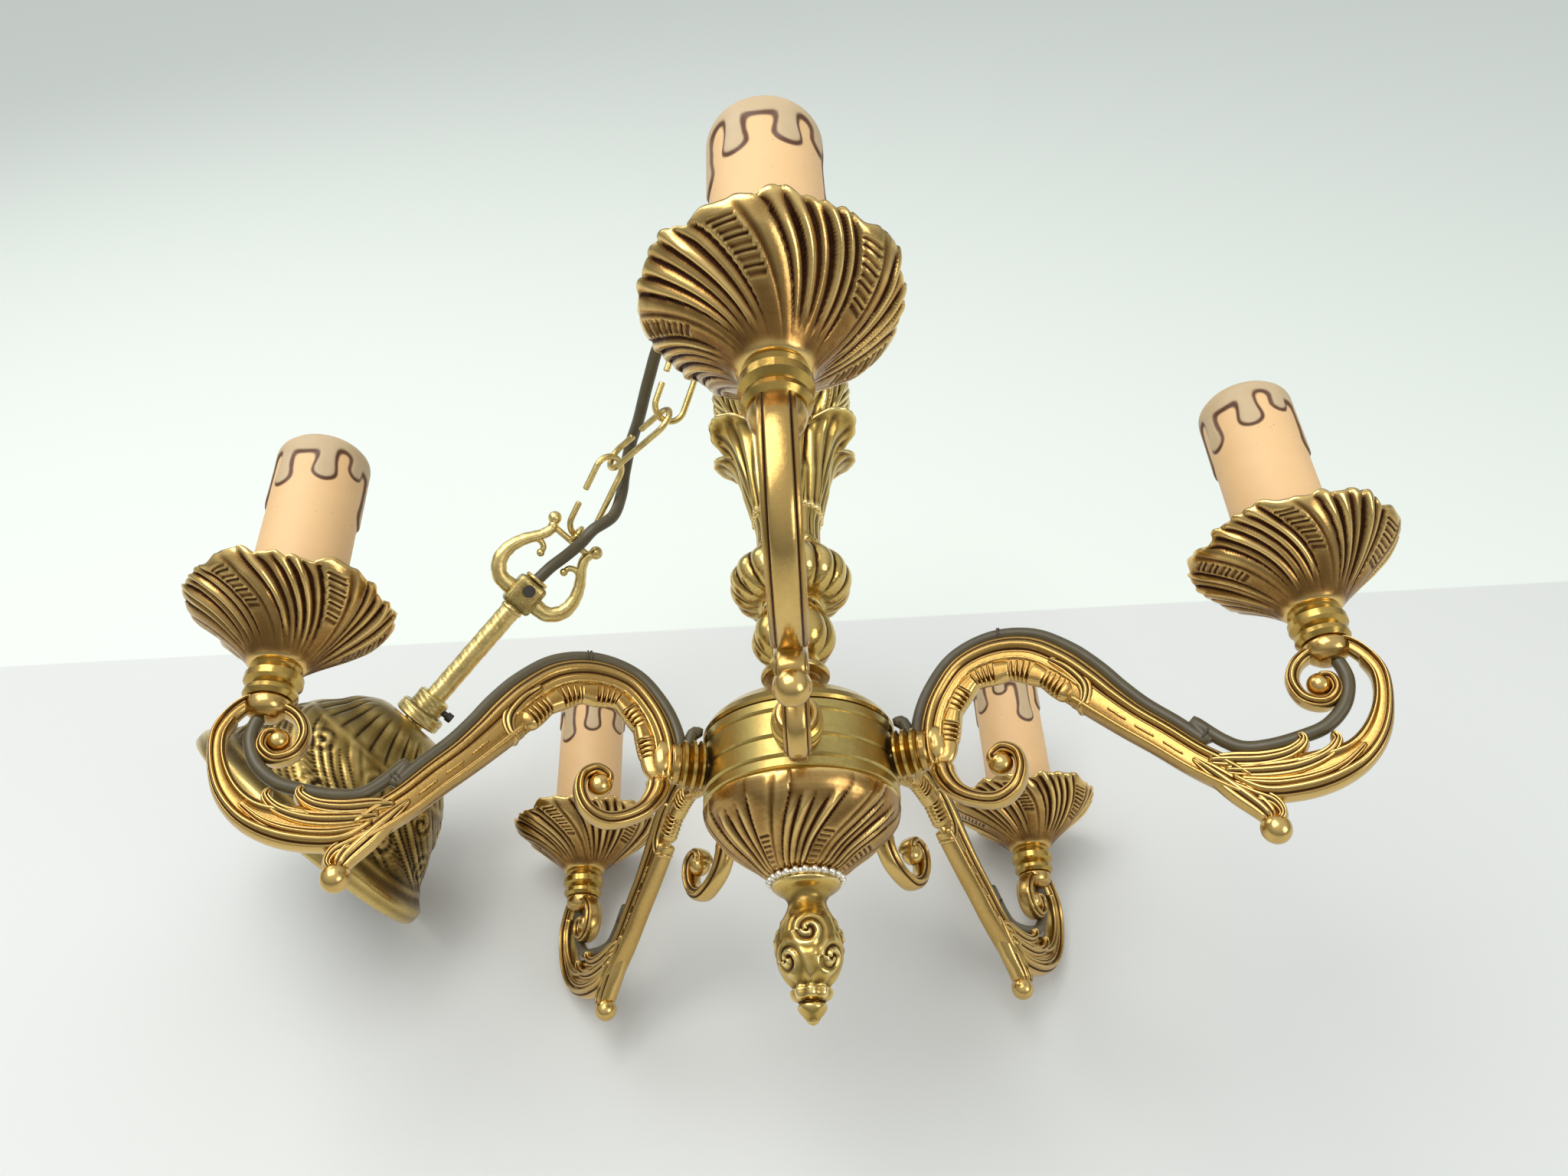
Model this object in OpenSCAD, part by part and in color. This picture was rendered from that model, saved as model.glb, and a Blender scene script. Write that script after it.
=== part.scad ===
// Five-arm candle chandelier in cast and turned brass, lying on its two back arms,
// with its chain, hook and ceiling canopy laid out beside the stem.
// Each piece is drawn in the chandelier's own frame: Z up along the stem, the middle
// of the drum at zero, and arm 1 toward -Y. rest_pose() then lays it down.

/* [Hub] */
// Radius of the drum that the arms spring from
drum_r = 34.5; // [30:0.5:40]
// Half the height of the drum's straight band
drum_half_h = 13; // [10:0.5:16]
// Number of arms
arm_count = 5; // [5:1:5]

/* [Arms and candles] */
// Distance from the stem to each candle
cup_r = 178; // [174:1:182]
// Thickness of the cast arms, across
arm_t = 8.5; // [7:0.5:10]
// Radius of the cup's rim
rim_r = 34.5; // [30:0.5:38]
// Height of the cup's rim above the drum's middle
rim_z = 46; // [44:0.5:48]
// Outer radius of the candle sleeve
sleeve_r = 15.75; // [15:0.25:17]
// Height of the sleeve's top above the drum's middle
sleeve_top = 112; // [105:1:120]
// Radius of the wire that runs along an arm
wire_r = 2.2; // [1.5:0.1:2.6]

/* [Suspension] */
// Wire thickness of the chain links
link_w = 3; // [2.4:0.1:3.2]
// Distance from one link's contact to the next
link_pitch = 38; // [36:1:40]
// Outer radius of the ceiling tube
tube_r = 5; // [4.5:0.1:5.5]
// Outer radius of the canopy's rim
canopy_r = 63; // [58:1:66]
// Height of the canopy
canopy_h = 67; // [60:1:70]
// Radius of the supply flex
flex_r = 2.9; // [2.4:0.1:3]

/* [Hidden] */

round_fn = 72;
lean = 70.8;                  // how far the stem leans back from upright, in degrees
rest_shift = [34.18, -72.98, 153.62];   // puts the middle of the lowest face at the origin

clearance = 0.05;           // between a threaded part and its hole
rod_r = 5;
rod_bore = rod_r + clearance;
stud_r = 3;
wall = 1.5;                 // of the spun brass shells

hub_boss_r = drum_r + 9.5;  // where the spool ends and the cast arm begins
neck_z = [10, 22];          // bottom and top of the turned neck below each cup
sleeve_bottom = 32.5;
socket_bore = 7;            // for an E14 lamp cap
socket_top = 109;
socket_depth = 24;
knob = [148.5, -47];        // middle of the ball under each arm, as radius and height

loop_z = 247;               // middle of the loop on top of the stem
loop_r = 9;
loop_w = 4;
slack = 1.3;                // play between two links
link_half = 7.25;           // half a link's width, to the middle of its wire
hang = (link_w + slack) / 2;

// Directions of the four links and then of the hook, as azimuth, elevation and roll.
chain_dirs = [[168, -24, 55], [128, -52, -85], [140, -8, 10], [134, -45, -100],
    [158, -44, -55]];
canopy_dir = [169, -47, 0];

function dir(a) = [cos(a[1]) * cos(a[0]), cos(a[1]) * sin(a[0]), sin(a[1])];
// The contact points of the chain: 0 is at the loop, 4 at the hook's eye.
function joint(i) = i == 0
    ? [0, 0, loop_z] + (loop_r - hang) * dir(chain_dirs[0])
    : joint(i - 1) + link_pitch * dir(chain_dirs[i - 1]);

// Distances along the hook and tube, from the last link's contact.
block_at = [32, 48];
tube_span = [41, 168];
collar_at = [103, 117];
nut_at = [156, 160];

// A smooth line through points of any dimension, n steps to a span.
function spline_at(a, b, c, d, t) = 0.5 * (2 * b + (c - a) * t
    + (2 * a - 5 * b + 4 * c - d) * t * t + (3 * b - a - 3 * c + d) * t * t * t);
function smooth(pts, n) = concat([for (i = [0 : len(pts) - 2], j = [0 : n - 1])
    spline_at(pts[max(i - 1, 0)], pts[i], pts[i + 1], pts[min(i + 2, len(pts) - 1)], j / n)],
    [pts[len(pts) - 1]]);

// The arm's strands, each point as radius, height and width of the strand.
scroll_line = [[51, -8, 10], [50.8, 0, 13], [52.3, 9, 13.5], [56.5, 18, 13.5],
    [64, 26, 14.5], [74.5, 28.7, 16.5], [85, 27, 16.5], [94, 20.5, 16], [101.5, 12, 15.5],
    [108, 4, 13.5], [115, -4, 12], [123, -12, 11.5], [131, -20.5, 11], [139, -27.5, 11],
    [145, -33, 9], [147.5, -40, 6], [148.5, -45, 6]];
hub_curl_line = [[51, -5, 9], [51.5, -11, 8], [55, -17, 6.5], [61, -21, 5.5],
    [68, -22.5, 5.5], [74, -19.5, 5], [77.2, -13.5, 4.5], [76.5, -7.5, 4.2], [72, -4.8, 4],
    [68, -7, 3.5], [68, -10.5, 3]];
tail_line = [[141, -27, 8], [149, -32, 12], [158, -32.5, 14], [168, -31.5, 13],
    [177, -28.5, 10], [184, -22, 8], [188.5, -13, 6], [190, -4, 5.5], [187.8, 3, 5.2],
    [183.5, 8, 5], [178, 8.6, 4.5]];
cup_curl_line = [[182, 8.2, 4], [175, 8, 4.5], [168.5, 5, 4.5], [165.3, -1, 4.5],
    [167, -7.5, 4.3], [172.5, -10.3, 4], [177, -7, 3.6], [176.5, -2.3, 3.2],
    [172.5, -1.2, 3]];

// The wire's route along an arm, as radius and height.
wire_line = [[35.5, 11.6], [39, 12], [42.5, 15], [45.5, 22], [51.5, 29.5], [59, 35.5],
    [67, 39], [76, 40.2], [85, 38.2], [93, 34.2], [101, 28.3], [109, 20], [117, 11], [125, 1.5],
    [133, -8], [140, -15.6], [146, -19.8], [154, -20.6], [163, -19.6], [171, -17.5],
    [177.5, -12], [180.8, -4.5], [180.4, 2], [178, 7.5]];

// The flex from the stem's top to the hook's block, beside the chain.
flex_line = [[-7.5, 1.5, 222], [-16, 4, 231.5], [-28, 2.5, 239.5], [-42, 2.5, 242], [-55, 9, 231],
    [-63, 24, 220], [-70, 42, 212], [-76, 56, 208], [-80, 65, 197], [-81.5, 68, 187],
    [-85, 67.5, 173], [-94, 66, 164], [-100, 68.5, 158.5], [-108, 73.5, 155], [-116, 77, 151],
    [-124, 79.5, 144]];

// ---------- shared shapes ----------

module rest_pose() {
    translate(rest_shift) rotate([-lean, 0, 0]) children();
}

// Turns the arm's plane, with its radius along +X, to arm i.
module at_arm(i) {
    rotate([0, 0, -90 - 360 / arm_count * (i - 1)]) children();
}

module on_every_arm() {
    for (i = [1 : arm_count]) at_arm(i) children();
}

// A solid turned about Z, from a hole of radius bore out to the profile.
module turned(profile, bore = 0) {
    first = profile[0];
    last = profile[len(profile) - 1];
    rotate_extrude($fn = round_fn)
        polygon(concat([[bore, first[1]]], profile, [[bore, last[1]]]));
}

// A hollow spun shell: its outer profile, and the same one moved in by its wall.
module shell(outer, inner) {
    rotate_extrude($fn = round_fn)
        polygon(concat(outer, [for (i = [len(inner) - 1 : -1 : 0]) inner[i]]));
}

// A flat bar of changing width that follows a line of [x, y, width].
module strand(line, t, n = 4) {
    p = smooth(line, n);
    last = len(p) - 1;
    heading = [for (i = [0 : last]) let (a = p[max(i - 1, 0)], b = p[min(i + 1, last)])
        atan2(b[1] - a[1], b[0] - a[0])];
    side = function (i, s) [p[i][0] - s * sin(heading[i]) * p[i][2] / 2,
        p[i][1] + s * cos(heading[i]) * p[i][2] / 2];
    linear_extrude(t, center = true)
        polygon(concat([for (i = [0 : last]) side(i, 1)],
            [for (i = [last : -1 : 0]) side(i, -1)]));
}

// A round cable along 3D points; across is any direction the cable never runs along.
module cable(pts, r, sides, across) {
    last = len(pts) - 1;
    unit = function (v) v / norm(v);
    ring = function (i) let (t = unit(pts[min(i + 1, last)] - pts[max(i - 1, 0)]),
        u = unit(cross(t, across)), v = cross(t, u))
        [for (k = [0 : sides - 1]) pts[i] + r * (cos(360 * k / sides) * u
            + sin(360 * k / sides) * v)];
    verts = [for (i = [0 : last]) each ring(i)];
    polyhedron(verts, concat(
        [[for (k = [0 : sides - 1]) k]],
        [for (i = [0 : last - 1], k = [0 : sides - 1]) let (k2 = (k + 1) % sides)
            [i * sides + k, (i + 1) * sides + k, (i + 1) * sides + k2, i * sides + k2]],
        [[for (k = [sides - 1 : -1 : 0]) last * sides + k]]));
}

module hex_nut(across_flats, h, bore) {
    difference() {
        cylinder(h = h, r = across_flats / sqrt(3), $fn = 6);
        translate([0, 0, -1]) cylinder(h = h + 2, r = bore, $fn = round_fn);
    }
}

// Stands children, drawn along +Z, at a distance along one of the chain's directions.
module along(from, a) {
    translate(from) rotate([0, 90 - a[1], a[0]]) rotate([0, 0, a[2]]) children();
}

module on_hook() {
    along(joint(4), chain_dirs[4]) children();
}

// ---------- hub ----------

module drum() {
    groove = 0.8;
    outer = concat([[drum_r - 1.5, -drum_half_h], [drum_r, -drum_half_h + 1]],
        [for (g = [-8.5, -1, 8.5]) each [[drum_r, g - groove], [drum_r - groove, g],
            [drum_r, g + groove]]],
        [[drum_r, drum_half_h - 1], [drum_r - 1.5, drum_half_h]]);
    color("darkgoldenrod") difference() {
        shell(outer, [[drum_r - 3, -drum_half_h], [drum_r - 3, drum_half_h]]);
        on_every_arm() {
            translate([drum_r, 0, 0]) rotate([0, 90, 0])
                cylinder(h = 12, r = stud_r + clearance, center = true, $fn = round_fn);
            translate([drum_r, 0, 9.3]) rotate([0, 90, 0])
                cylinder(h = 12, r = wire_r + 0.6, center = true, $fn = round_fn);
        }
    }
}

module drum_cover() {
    z = drum_half_h;
    color("goldenrod") shell(
        [[drum_r - 0.5, z], [drum_r, z + 1.2], [drum_r - 1.5, z + 4], [29, z + 8],
            [22, z + 12.3], [14.5, z + 15.8], [9, z + 18], [rod_bore, z + 18]],
        [[drum_r - 0.5 - wall, z], [drum_r - 1.7, z + 1.4], [drum_r - 3, z + 3.2],
            [28, z + 6.8], [21.3, z + 10.9], [14, z + 14.2], [9, z + 16.4],
            [rod_bore, z + 16.4]]);
}

module bowl() {
    color("goldenrod") shell(
        [[34.2, -13], [34.5, -15], [32.3, -20], [26, -26.5], [18.5, -32.5], [12, -38],
            [rod_bore, -38]],
        [[32.7, -13], [32.9, -14.8], [31, -19.1], [25, -25.3], [17.6, -31.2], [11.4, -36.4],
            [rod_bore, -36.4]]);
}

module bead_ring() {
    beads = 24;
    color("silver") {
        turned([[11, -40.5], [12.2, -39.8], [12.2, -38.7], [11, -38]], rod_bore);
        for (i = [1 : beads]) rotate([0, 0, i * 360 / beads])
            translate([12.2, 0, -39.25]) sphere(r = 1.2, $fn = 24);
    }
}

module finial() {
    rod_end = -47.5;
    color("goldenrod") rotate_extrude($fn = round_fn) polygon([[rod_bore, -40.5],
        [10.8, -40.5], [11, -42], [8.2, -44], [6.5, -46.5], [7.2, -49.5], [9.6, -54],
        [11, -59], [11.2, -63], [10.4, -67.5], [8.2, -71.5], [5.8, -74], [5.6, -75], [0, -75],
        [0, rod_end], [rod_bore, rod_end]]);
}

module finial_nut() {
    color("goldenrod") turned([[6, -75], [6.4, -76.5], [5.8, -78], [4.2, -79], [4.7, -80.3],
        [4, -82], [2.4, -84.5], [0.8, -86]]);
}

module centre_rod() {
    color("gray") difference() {
        translate([0, 0, -47]) cylinder(h = 47 + 235.5, r = rod_r, $fn = round_fn);
        translate([0, 0, -48]) cylinder(h = 290, r = 3.4, $fn = round_fn);
    }
}

// One nut holds the bowl up from inside, the other holds the cover down.
module rod_nuts() {
    color("gray") {
        translate([0, 0, -36.3]) hex_nut(17, 5, rod_bore);
        translate([0, 0, 24.2]) hex_nut(17, 5, rod_bore);
    }
}

// ---------- stem ----------

module stem_collar() {
    color("goldenrod") turned([[9, 31], [10.2, 33], [9.2, 36], [9.6, 37.6], [12.4, 38.2],
        [13, 39.6], [12.4, 41], [9.4, 42.4], [8.6, 45]], rod_bore);
}

module stem_bulb() {
    color("darkgoldenrod") turned([[8.6, 45], [12.6, 48], [15, 52], [15.6, 56], [14.6, 61],
        [12.4, 65.5], [11, 68], [12, 70]], rod_bore);
}

module stem_knop() {
    color("darkgoldenrod") turned([[12, 70], [17, 71.6], [21.5, 75.4], [24, 80.5],
        [23.4, 85], [20, 89], [15, 91.6], [12.6, 95]], rod_bore);
}

module stem_neck() {
    color("darkgoldenrod") turned([[12.6, 95], [13.7, 97], [12.8, 99.5], [13, 107],
        [14.2, 112]], rod_bore);
}

// An acanthus cup whose tips curl outward, open above its floor.
module leaf_cup() {
    floor_z = 148;
    color("goldenrod") rotate_extrude($fn = round_fn) polygon([[rod_bore, 112], [14.2, 112],
        [15.2, 116], [18, 127], [20.4, 136], [24, 145.5], [29, 151.5], [35, 154.6],
        [34.6, 156.6], [28, 154], [22.5, 150], [20, floor_z], [rod_bore, floor_z]]);
}

module stem_vase() {
    color("darkgoldenrod") turned([[11, 148.2], [12.5, 151], [16.5, 156], [21.5, 162],
        [26.5, 168.5], [30, 175], [30.6, 181], [27.5, 188], [20.5, 194.5], [13, 199.5],
        [9.2, 204], [9.4, 206]], rod_bore);
}

module stem_top() {
    color("goldenrod") turned([[9.4, 206], [13.4, 208.2], [14.6, 212], [13, 216], [8.6, 219.5],
        [7.2, 224], [7.4, 228.5], [9.4, 231], [9, 234], [6.6, 236]], rod_bore);
}

module top_loop() {
    color("goldenrod") {
        turned([[6.4, 236.2], [6.4, 237.4], [3.6, 239.2]]);
        translate([0, 0, loop_z]) rotate([0, 0, chain_dirs[0][0]]) rotate([90, 0, 0])
            rotate_extrude($fn = round_fn) translate([loop_r, 0])
                circle(r = loop_w / 2, $fn = 24);
    }
}

// ---------- arms ----------

module cast_arm() {
    color("darkgoldenrod") difference() {
        union() {
            rotate([90, 0, 0]) {
                strand(scroll_line, arm_t);
                strand(hub_curl_line, arm_t);
                strand(tail_line, arm_t);
                strand(cup_curl_line, arm_t - 1);
            }
            translate([hub_boss_r, 0, 0]) rotate([0, 90, 0])
                cylinder(h = 3, r = 7, $fn = round_fn);
            translate([cup_r, 0, 6]) cylinder(h = neck_z[0] - 6, r = 7, $fn = round_fn);
            translate([knob[0], 0, knob[1]]) sphere(r = 4.6, $fn = 48);
            translate([71.5, 0, -10]) rotate([90, 0, 0])
                cylinder(h = arm_t, r = 3, center = true, $fn = 32);
        }
        translate([hub_boss_r - 2, 0, 0]) rotate([0, 90, 0])
            cylinder(h = 10.2, r = stud_r + clearance, $fn = round_fn);
        translate([cup_r, 0, 5]) cylinder(h = 8, r = rod_bore, $fn = round_fn);
        translate([cup_r, 0, neck_z[0]]) cylinder(h = 4, r = 13, $fn = round_fn);
    }
}

// Round spacers between the drum and the arms.
module hub_spools() {
    color("goldenrod") on_every_arm() translate([drum_r, 0, 0]) rotate([0, 90, 0])
        turned([[7.2, 0.6], [8.6, 1.6], [8.6, 2.4], [6.6, 3.4], [8.8, 4.4], [8.8, 5.6],
            [6.6, 6.6], [8.4, 7.6], [8.4, 8.6], [7.2, 9.4]], stud_r + clearance);
}

module arm_studs() {
    color("gray") on_every_arm() translate([drum_r - 9.5, 0, 0]) rotate([0, 90, 0])
        cylinder(h = 27, r = stud_r, $fn = round_fn);
}

module arm_nuts() {
    color("gray") on_every_arm() translate([drum_r - 8, 0, 0]) rotate([0, 90, 0])
        hex_nut(10, 4, stud_r + clearance);
}

module arm_wire() {
    color("olivedrab") cable([for (p = smooth(wire_line, 1)) [p[0], 0, p[1]]],
        wire_r, 8, [0, 1, 0]);
}

// Thin wire turns that bind the cable to the arm.
module wire_ties() {
    color("dimgray") on_every_arm() for (p = [[76, 41, 0], [139, -14.2, 43]])
        translate([p[0], 0, p[1]]) rotate([0, 90 + p[2], 0]) difference() {
            cylinder(h = 2.2, r = wire_r + 1.1, center = true, $fn = 32);
            cylinder(h = 4, r = wire_r + 0.3, center = true, $fn = 32);
        }
}

module neck_spools() {
    color("goldenrod") on_every_arm() translate([cup_r, 0, 0])
        turned([[7.4, neck_z[0]], [8.6, 11.4], [8.4, 13], [7, 14.4], [9.2, 16], [9.2, 18.4],
            [7.2, 19.8], [8.4, 21], [8, neck_z[1]]], rod_bore);
}

module holder_nipples() {
    color("gray") on_every_arm() translate([cup_r, 0, 0]) difference() {
        translate([0, 0, 6.2]) cylinder(h = 17.7, r = rod_r, $fn = round_fn);
        cylinder(h = 30, r = 3.2, $fn = round_fn);
    }
}

module cup() {
    color("saddlebrown") translate([cup_r, 0, 0]) shell(
        [[5.2, 22], [8.6, 22], [11, 24.6], [15, 28.6], [21, 34], [28, 40], [rim_r, rim_z - 0.5],
            [rim_r - 0.4, rim_z + 1.2]],
        [[5.2, 24], [8, 24], [9.8, 26.2], [14, 30.3], [20, 35.7], [27, 41.7],
            [rim_r - 2.4, rim_z + 0.6], [rim_r - 1.4, rim_z + 1.6]]);
}

module sleeve() {
    inner = sleeve_r - 1.6;
    color("wheat") translate([cup_r, 0, 0]) rotate_extrude($fn = round_fn)
        polygon([[inner, sleeve_bottom], [sleeve_r, sleeve_bottom],
            [sleeve_r, sleeve_top - 3], [sleeve_r - 0.8, sleeve_top - 0.9],
            [sleeve_r - 2.8, sleeve_top], [12.4, sleeve_top], [12.4, sleeve_top - 1.6],
            [inner, sleeve_top - 2.4]]);
}

module lampholder() {
    color("ivory") translate([cup_r, 0, 0]) difference() {
        turned([[7.6, 24.1], [7.6, 27], [5.6, 28.5], [5.6, 74], [10, 77.5], [12.6, 80],
            [12.6, 107], [11.6, socket_top]]);
        translate([0, 0, socket_top - socket_depth])
            cylinder(h = socket_depth + 1, r = socket_bore, $fn = round_fn);
    }
}

// ---------- chain and hook ----------

// A long link about the middle of its length, in the XZ plane.
module chain_link() {
    straight = link_pitch / 2 + hang - link_half;
    color("olive") {
        for (s = [-1, 1]) {
            translate([0, 0, s * straight]) rotate([90, 0, 0])
                rotate_extrude(angle = s * 180, $fn = round_fn) translate([link_half, 0])
                    circle(r = link_w / 2, $fn = 24);
            translate([s * link_half, 0, 0])
                cylinder(h = 2 * straight, r = link_w / 2, center = true, $fn = 24);
        }
    }
}

module chain_link_at(i) {
    along((joint(i - 1) + joint(i)) / 2, chain_dirs[i - 1]) chain_link();
}

module lyre_hook() {
    eye_r = 4;
    bar_at = eye_r * 2 - hang;
    side_line = [[12.6, 3.4, 4], [10.8, 7.5, 4.4], [12.8, 13, 4.6], [17.2, 19.5, 5],
        [20, 27, 5.6], [19, 34.5, 6], [14.5, 39.5, 6], [9, 40.5, 7]];
    curl_line = [[14.6, 16.5, 3.6], [11.6, 15.2, 3.2], [8.2, 16.4, 3], [7.2, 19, 3]];
    color("darkgoldenrod") on_hook() {
        rotate([90, 0, 0]) for (m = [0, 1]) mirror([m, 0, 0]) {
            strand(side_line, 5);
            strand(curl_line, 3.6);
            translate([13, 2.4, 0]) sphere(r = 3.3, $fn = 48);
            translate([7.3, 19.6, 0]) sphere(r = 2, $fn = 32);
        }
        translate([0, 0, bar_at]) rotate([0, 90, 0])
            cylinder(h = 23, r = 1.6, center = true, $fn = 32);
        translate([0, 0, eye_r - hang]) rotate([0, 90, 0]) rotate_extrude($fn = round_fn)
            translate([eye_r, 0]) circle(r = 1.3, $fn = 24);
    }
}

module hook_block() {
    color("goldenrod") on_hook() difference() {
        translate([-7.5, -6.5, block_at[0]])
            cube([15, 13, block_at[1] - block_at[0]]);
        translate([0, 0, tube_span[0] - 0.1])
            cylinder(h = 20, r = tube_r + clearance, $fn = round_fn);
        translate([0, 0, block_at[0] - 1]) cylinder(h = 30, r = 3.5, $fn = round_fn);
        translate([0, 7, 37.5]) rotate([90, 0, 0])
            cylinder(h = 6, r = 1.6, center = true, $fn = 24);
        for (s = [-1, 1]) translate([s * 9.5, 0, 40]) cube([5.6, 5.4, 10], center = true);
    }
}

module hook_screw() {
    color("dimgray") on_hook() {
        translate([0, 8, 37.5]) rotate([90, 0, 0]) cylinder(h = 1.4, r = 2.9, $fn = 32);
        translate([0, 7, 37.5]) rotate([90, 0, 0]) cylinder(h = 2.6, r = 1.5, $fn = 24);
    }
}

module ceiling_tube() {
    color("olive") on_hook() difference() {
        translate([0, 0, tube_span[0]])
            cylinder(h = tube_span[1] - tube_span[0], r = tube_r, $fn = round_fn);
        translate([0, 0, tube_span[0] - 1]) cylinder(h = 140, r = 3.6, $fn = round_fn);
    }
}

module tube_nut() {
    color("gray") on_hook() translate([0, 0, nut_at[0]])
        hex_nut(14, nut_at[1] - nut_at[0], tube_r + clearance);
}

// A flanged stop that carries the canopy, locked on the tube by a screw.
module collar() {
    color("goldenrod") on_hook() difference() {
        turned([[8, collar_at[0]], [8, collar_at[0] + 8], [11.2, collar_at[0] + 8],
            [11.2, collar_at[1]]], tube_r + clearance);
        translate([8, 0, collar_at[0] + 4]) rotate([0, 90, 0])
            cylinder(h = 8, r = 1.6, center = true, $fn = 24);
    }
}

module grub_screw() {
    color("black") on_hook() translate([tube_r + 0.2, 0, collar_at[0] + 4])
        rotate([0, 90, 0]) {
            cylinder(h = 7.2, r = 1.5, $fn = 24);
            translate([0, 0, 4.6]) cylinder(h = 2.8, r = 2.2, $fn = 24);
        }
}

// The bell hangs crooked on the collar, as a loose canopy does.
module canopy() {
    seat = joint(4) + (collar_at[1] + 0.6) * dir(chain_dirs[4]);
    h = canopy_h;
    color("goldenrod") along(seat, canopy_dir) translate([0, 0, 1.6]) shell(
        [[7.6, 0], [13.5, 0], [19, 1.6], [26, 6.5], [31, 13], [38, 20], [43.5, 28], [48, 38],
            [52, 47], [55.5, 53], [59, 57], [canopy_r, h - 7], [canopy_r, h - 1.5],
            [canopy_r - 1.5, h]],
        [[7.6, 1.6], [13, 1.6], [18.2, 3.1], [25, 7.9], [29.8, 14.2], [36.7, 21.1],
            [42, 29], [46.5, 38.7], [50.6, 47.8], [54.4, 54.2], [58, 58.4],
            [canopy_r - 1.8, h - 6], [canopy_r - 1.8, h - 2], [canopy_r - 3.2, h]]);
}

module main_flex() {
    color("darkolivegreen") cable(smooth(flex_line, 3), flex_r, 10, [0.1, 0.8, 0.6]);
}

// ---------- every piece, laid down ----------

rest_pose() {
    drum();
    drum_cover();
    bowl();
    bead_ring();
    finial();
    finial_nut();
    centre_rod();
    rod_nuts();
    stem_collar();
    stem_bulb();
    stem_knop();
    stem_neck();
    leaf_cup();
    stem_vase();
    stem_top();
    top_loop();
    for (i = [1 : arm_count]) {
        at_arm(i) cast_arm();
        at_arm(i) cup();
        at_arm(i) sleeve();
        at_arm(i) lampholder();
        at_arm(i) arm_wire();
    }
    hub_spools();
    arm_studs();
    arm_nuts();
    neck_spools();
    holder_nipples();
    wire_ties();
    for (i = [1 : 4])
        chain_link_at(i);
    lyre_hook();
    hook_block();
    hook_screw();
    ceiling_tube();
    tube_nut();
    collar();
    grub_screw();
    canopy();
    main_flex();
}
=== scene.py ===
import math

import bpy
import numpy as np
from mathutils import Matrix, Vector


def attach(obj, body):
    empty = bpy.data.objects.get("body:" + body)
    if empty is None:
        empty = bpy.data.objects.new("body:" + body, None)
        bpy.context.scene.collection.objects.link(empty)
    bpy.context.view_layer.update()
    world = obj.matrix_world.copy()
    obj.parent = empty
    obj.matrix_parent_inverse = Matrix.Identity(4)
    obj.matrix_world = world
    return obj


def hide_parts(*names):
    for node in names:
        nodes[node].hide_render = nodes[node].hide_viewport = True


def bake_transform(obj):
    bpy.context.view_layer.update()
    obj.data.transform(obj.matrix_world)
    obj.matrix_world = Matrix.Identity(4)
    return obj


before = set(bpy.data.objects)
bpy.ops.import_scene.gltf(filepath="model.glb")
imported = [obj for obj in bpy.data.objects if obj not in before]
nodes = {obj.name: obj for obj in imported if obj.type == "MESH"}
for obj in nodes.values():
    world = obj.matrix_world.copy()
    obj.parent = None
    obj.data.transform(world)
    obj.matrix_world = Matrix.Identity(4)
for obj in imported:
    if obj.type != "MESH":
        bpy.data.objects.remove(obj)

for spare in ("Cube", "Light", "Camera"):
    if spare in bpy.data.objects:
        bpy.data.objects.remove(bpy.data.objects[spare])

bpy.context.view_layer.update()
print("frame loaded:", len(nodes), "nodes")

# Shapes are drawn in the chandelier's own frame: millimetres, Z up the stem, arm 1 toward -Y.
restPose = {"lean": 70.8, "shift": (34.18, -72.98, 153.62)}
layDown = (Matrix.Scale(0.001, 4) @ Matrix.Translation(restPose["shift"])
           @ Matrix.Rotation(math.radians(-restPose["lean"]), 4, "X"))
armTurns = [-90 - 72 * k for k in range(5)]
toCup = Matrix.Translation((178, 0, 0))  # from the stem's line out to a cup's
rodBore = 5.1  # radius of the hole for the centre rod in each turned piece


def selectOnly(*pieces):
    bpy.ops.object.select_all(action="DESELECT")
    for piece in pieces:
        piece.select_set(True)
    bpy.context.view_layer.objects.active = pieces[0]


def closeMesh(piece, gap=0.003):
    selectOnly(piece)
    bpy.ops.object.mode_set(mode="EDIT")
    bpy.ops.mesh.select_all(action="SELECT")
    bpy.ops.mesh.remove_doubles(threshold=gap)
    bpy.ops.mesh.normals_make_consistent(inside=False)
    bpy.ops.object.mode_set(mode="OBJECT")
    bpy.ops.object.shade_smooth()


def gridPiece(name, around, along, place):  # a flat grid rolled into shape by place(u, v)
    bpy.ops.object.select_all(action="DESELECT")
    bpy.ops.mesh.primitive_grid_add(x_subdivisions=around, y_subdivisions=along, size=1,
                                    calc_uvs=True)
    piece = bpy.context.object
    piece.name = piece.data.name = name
    flat = np.empty(len(piece.data.vertices) * 3)
    piece.data.vertices.foreach_get("co", flat)
    flat = flat.reshape(-1, 3)
    u, v = np.clip(flat[:, 0] + 0.5, 0, 1), np.clip(flat[:, 1] + 0.5, 0, 1)
    placed = place(u, v)
    if isinstance(placed, tuple):
        placed, extra = placed
        for label, values in extra.items():
            layer = piece.data.attributes.new(label, "FLOAT", "POINT")
            layer.data.foreach_set("value", values.astype(np.float32))
    piece.data.vertices.foreach_set("co", np.ascontiguousarray(placed).ravel())
    closeMesh(piece)
    return piece


def smoothLine(points, steps):  # the same curve through the points as the solid model's
    pts = np.array(points, float)
    out = []
    for i in range(len(pts) - 1):
        a, b, c, d = pts[max(i - 1, 0)], pts[i], pts[i + 1], pts[min(i + 2, len(pts) - 1)]
        for t in np.arange(steps) / steps:
            out.append(0.5 * (2 * b + (c - a) * t + (2 * a - 5 * b + 4 * c - d) * t * t
                              + (3 * b - a - 3 * c + d) * t ** 3))
    out.append(pts[-1])
    return np.array(out)


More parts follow.
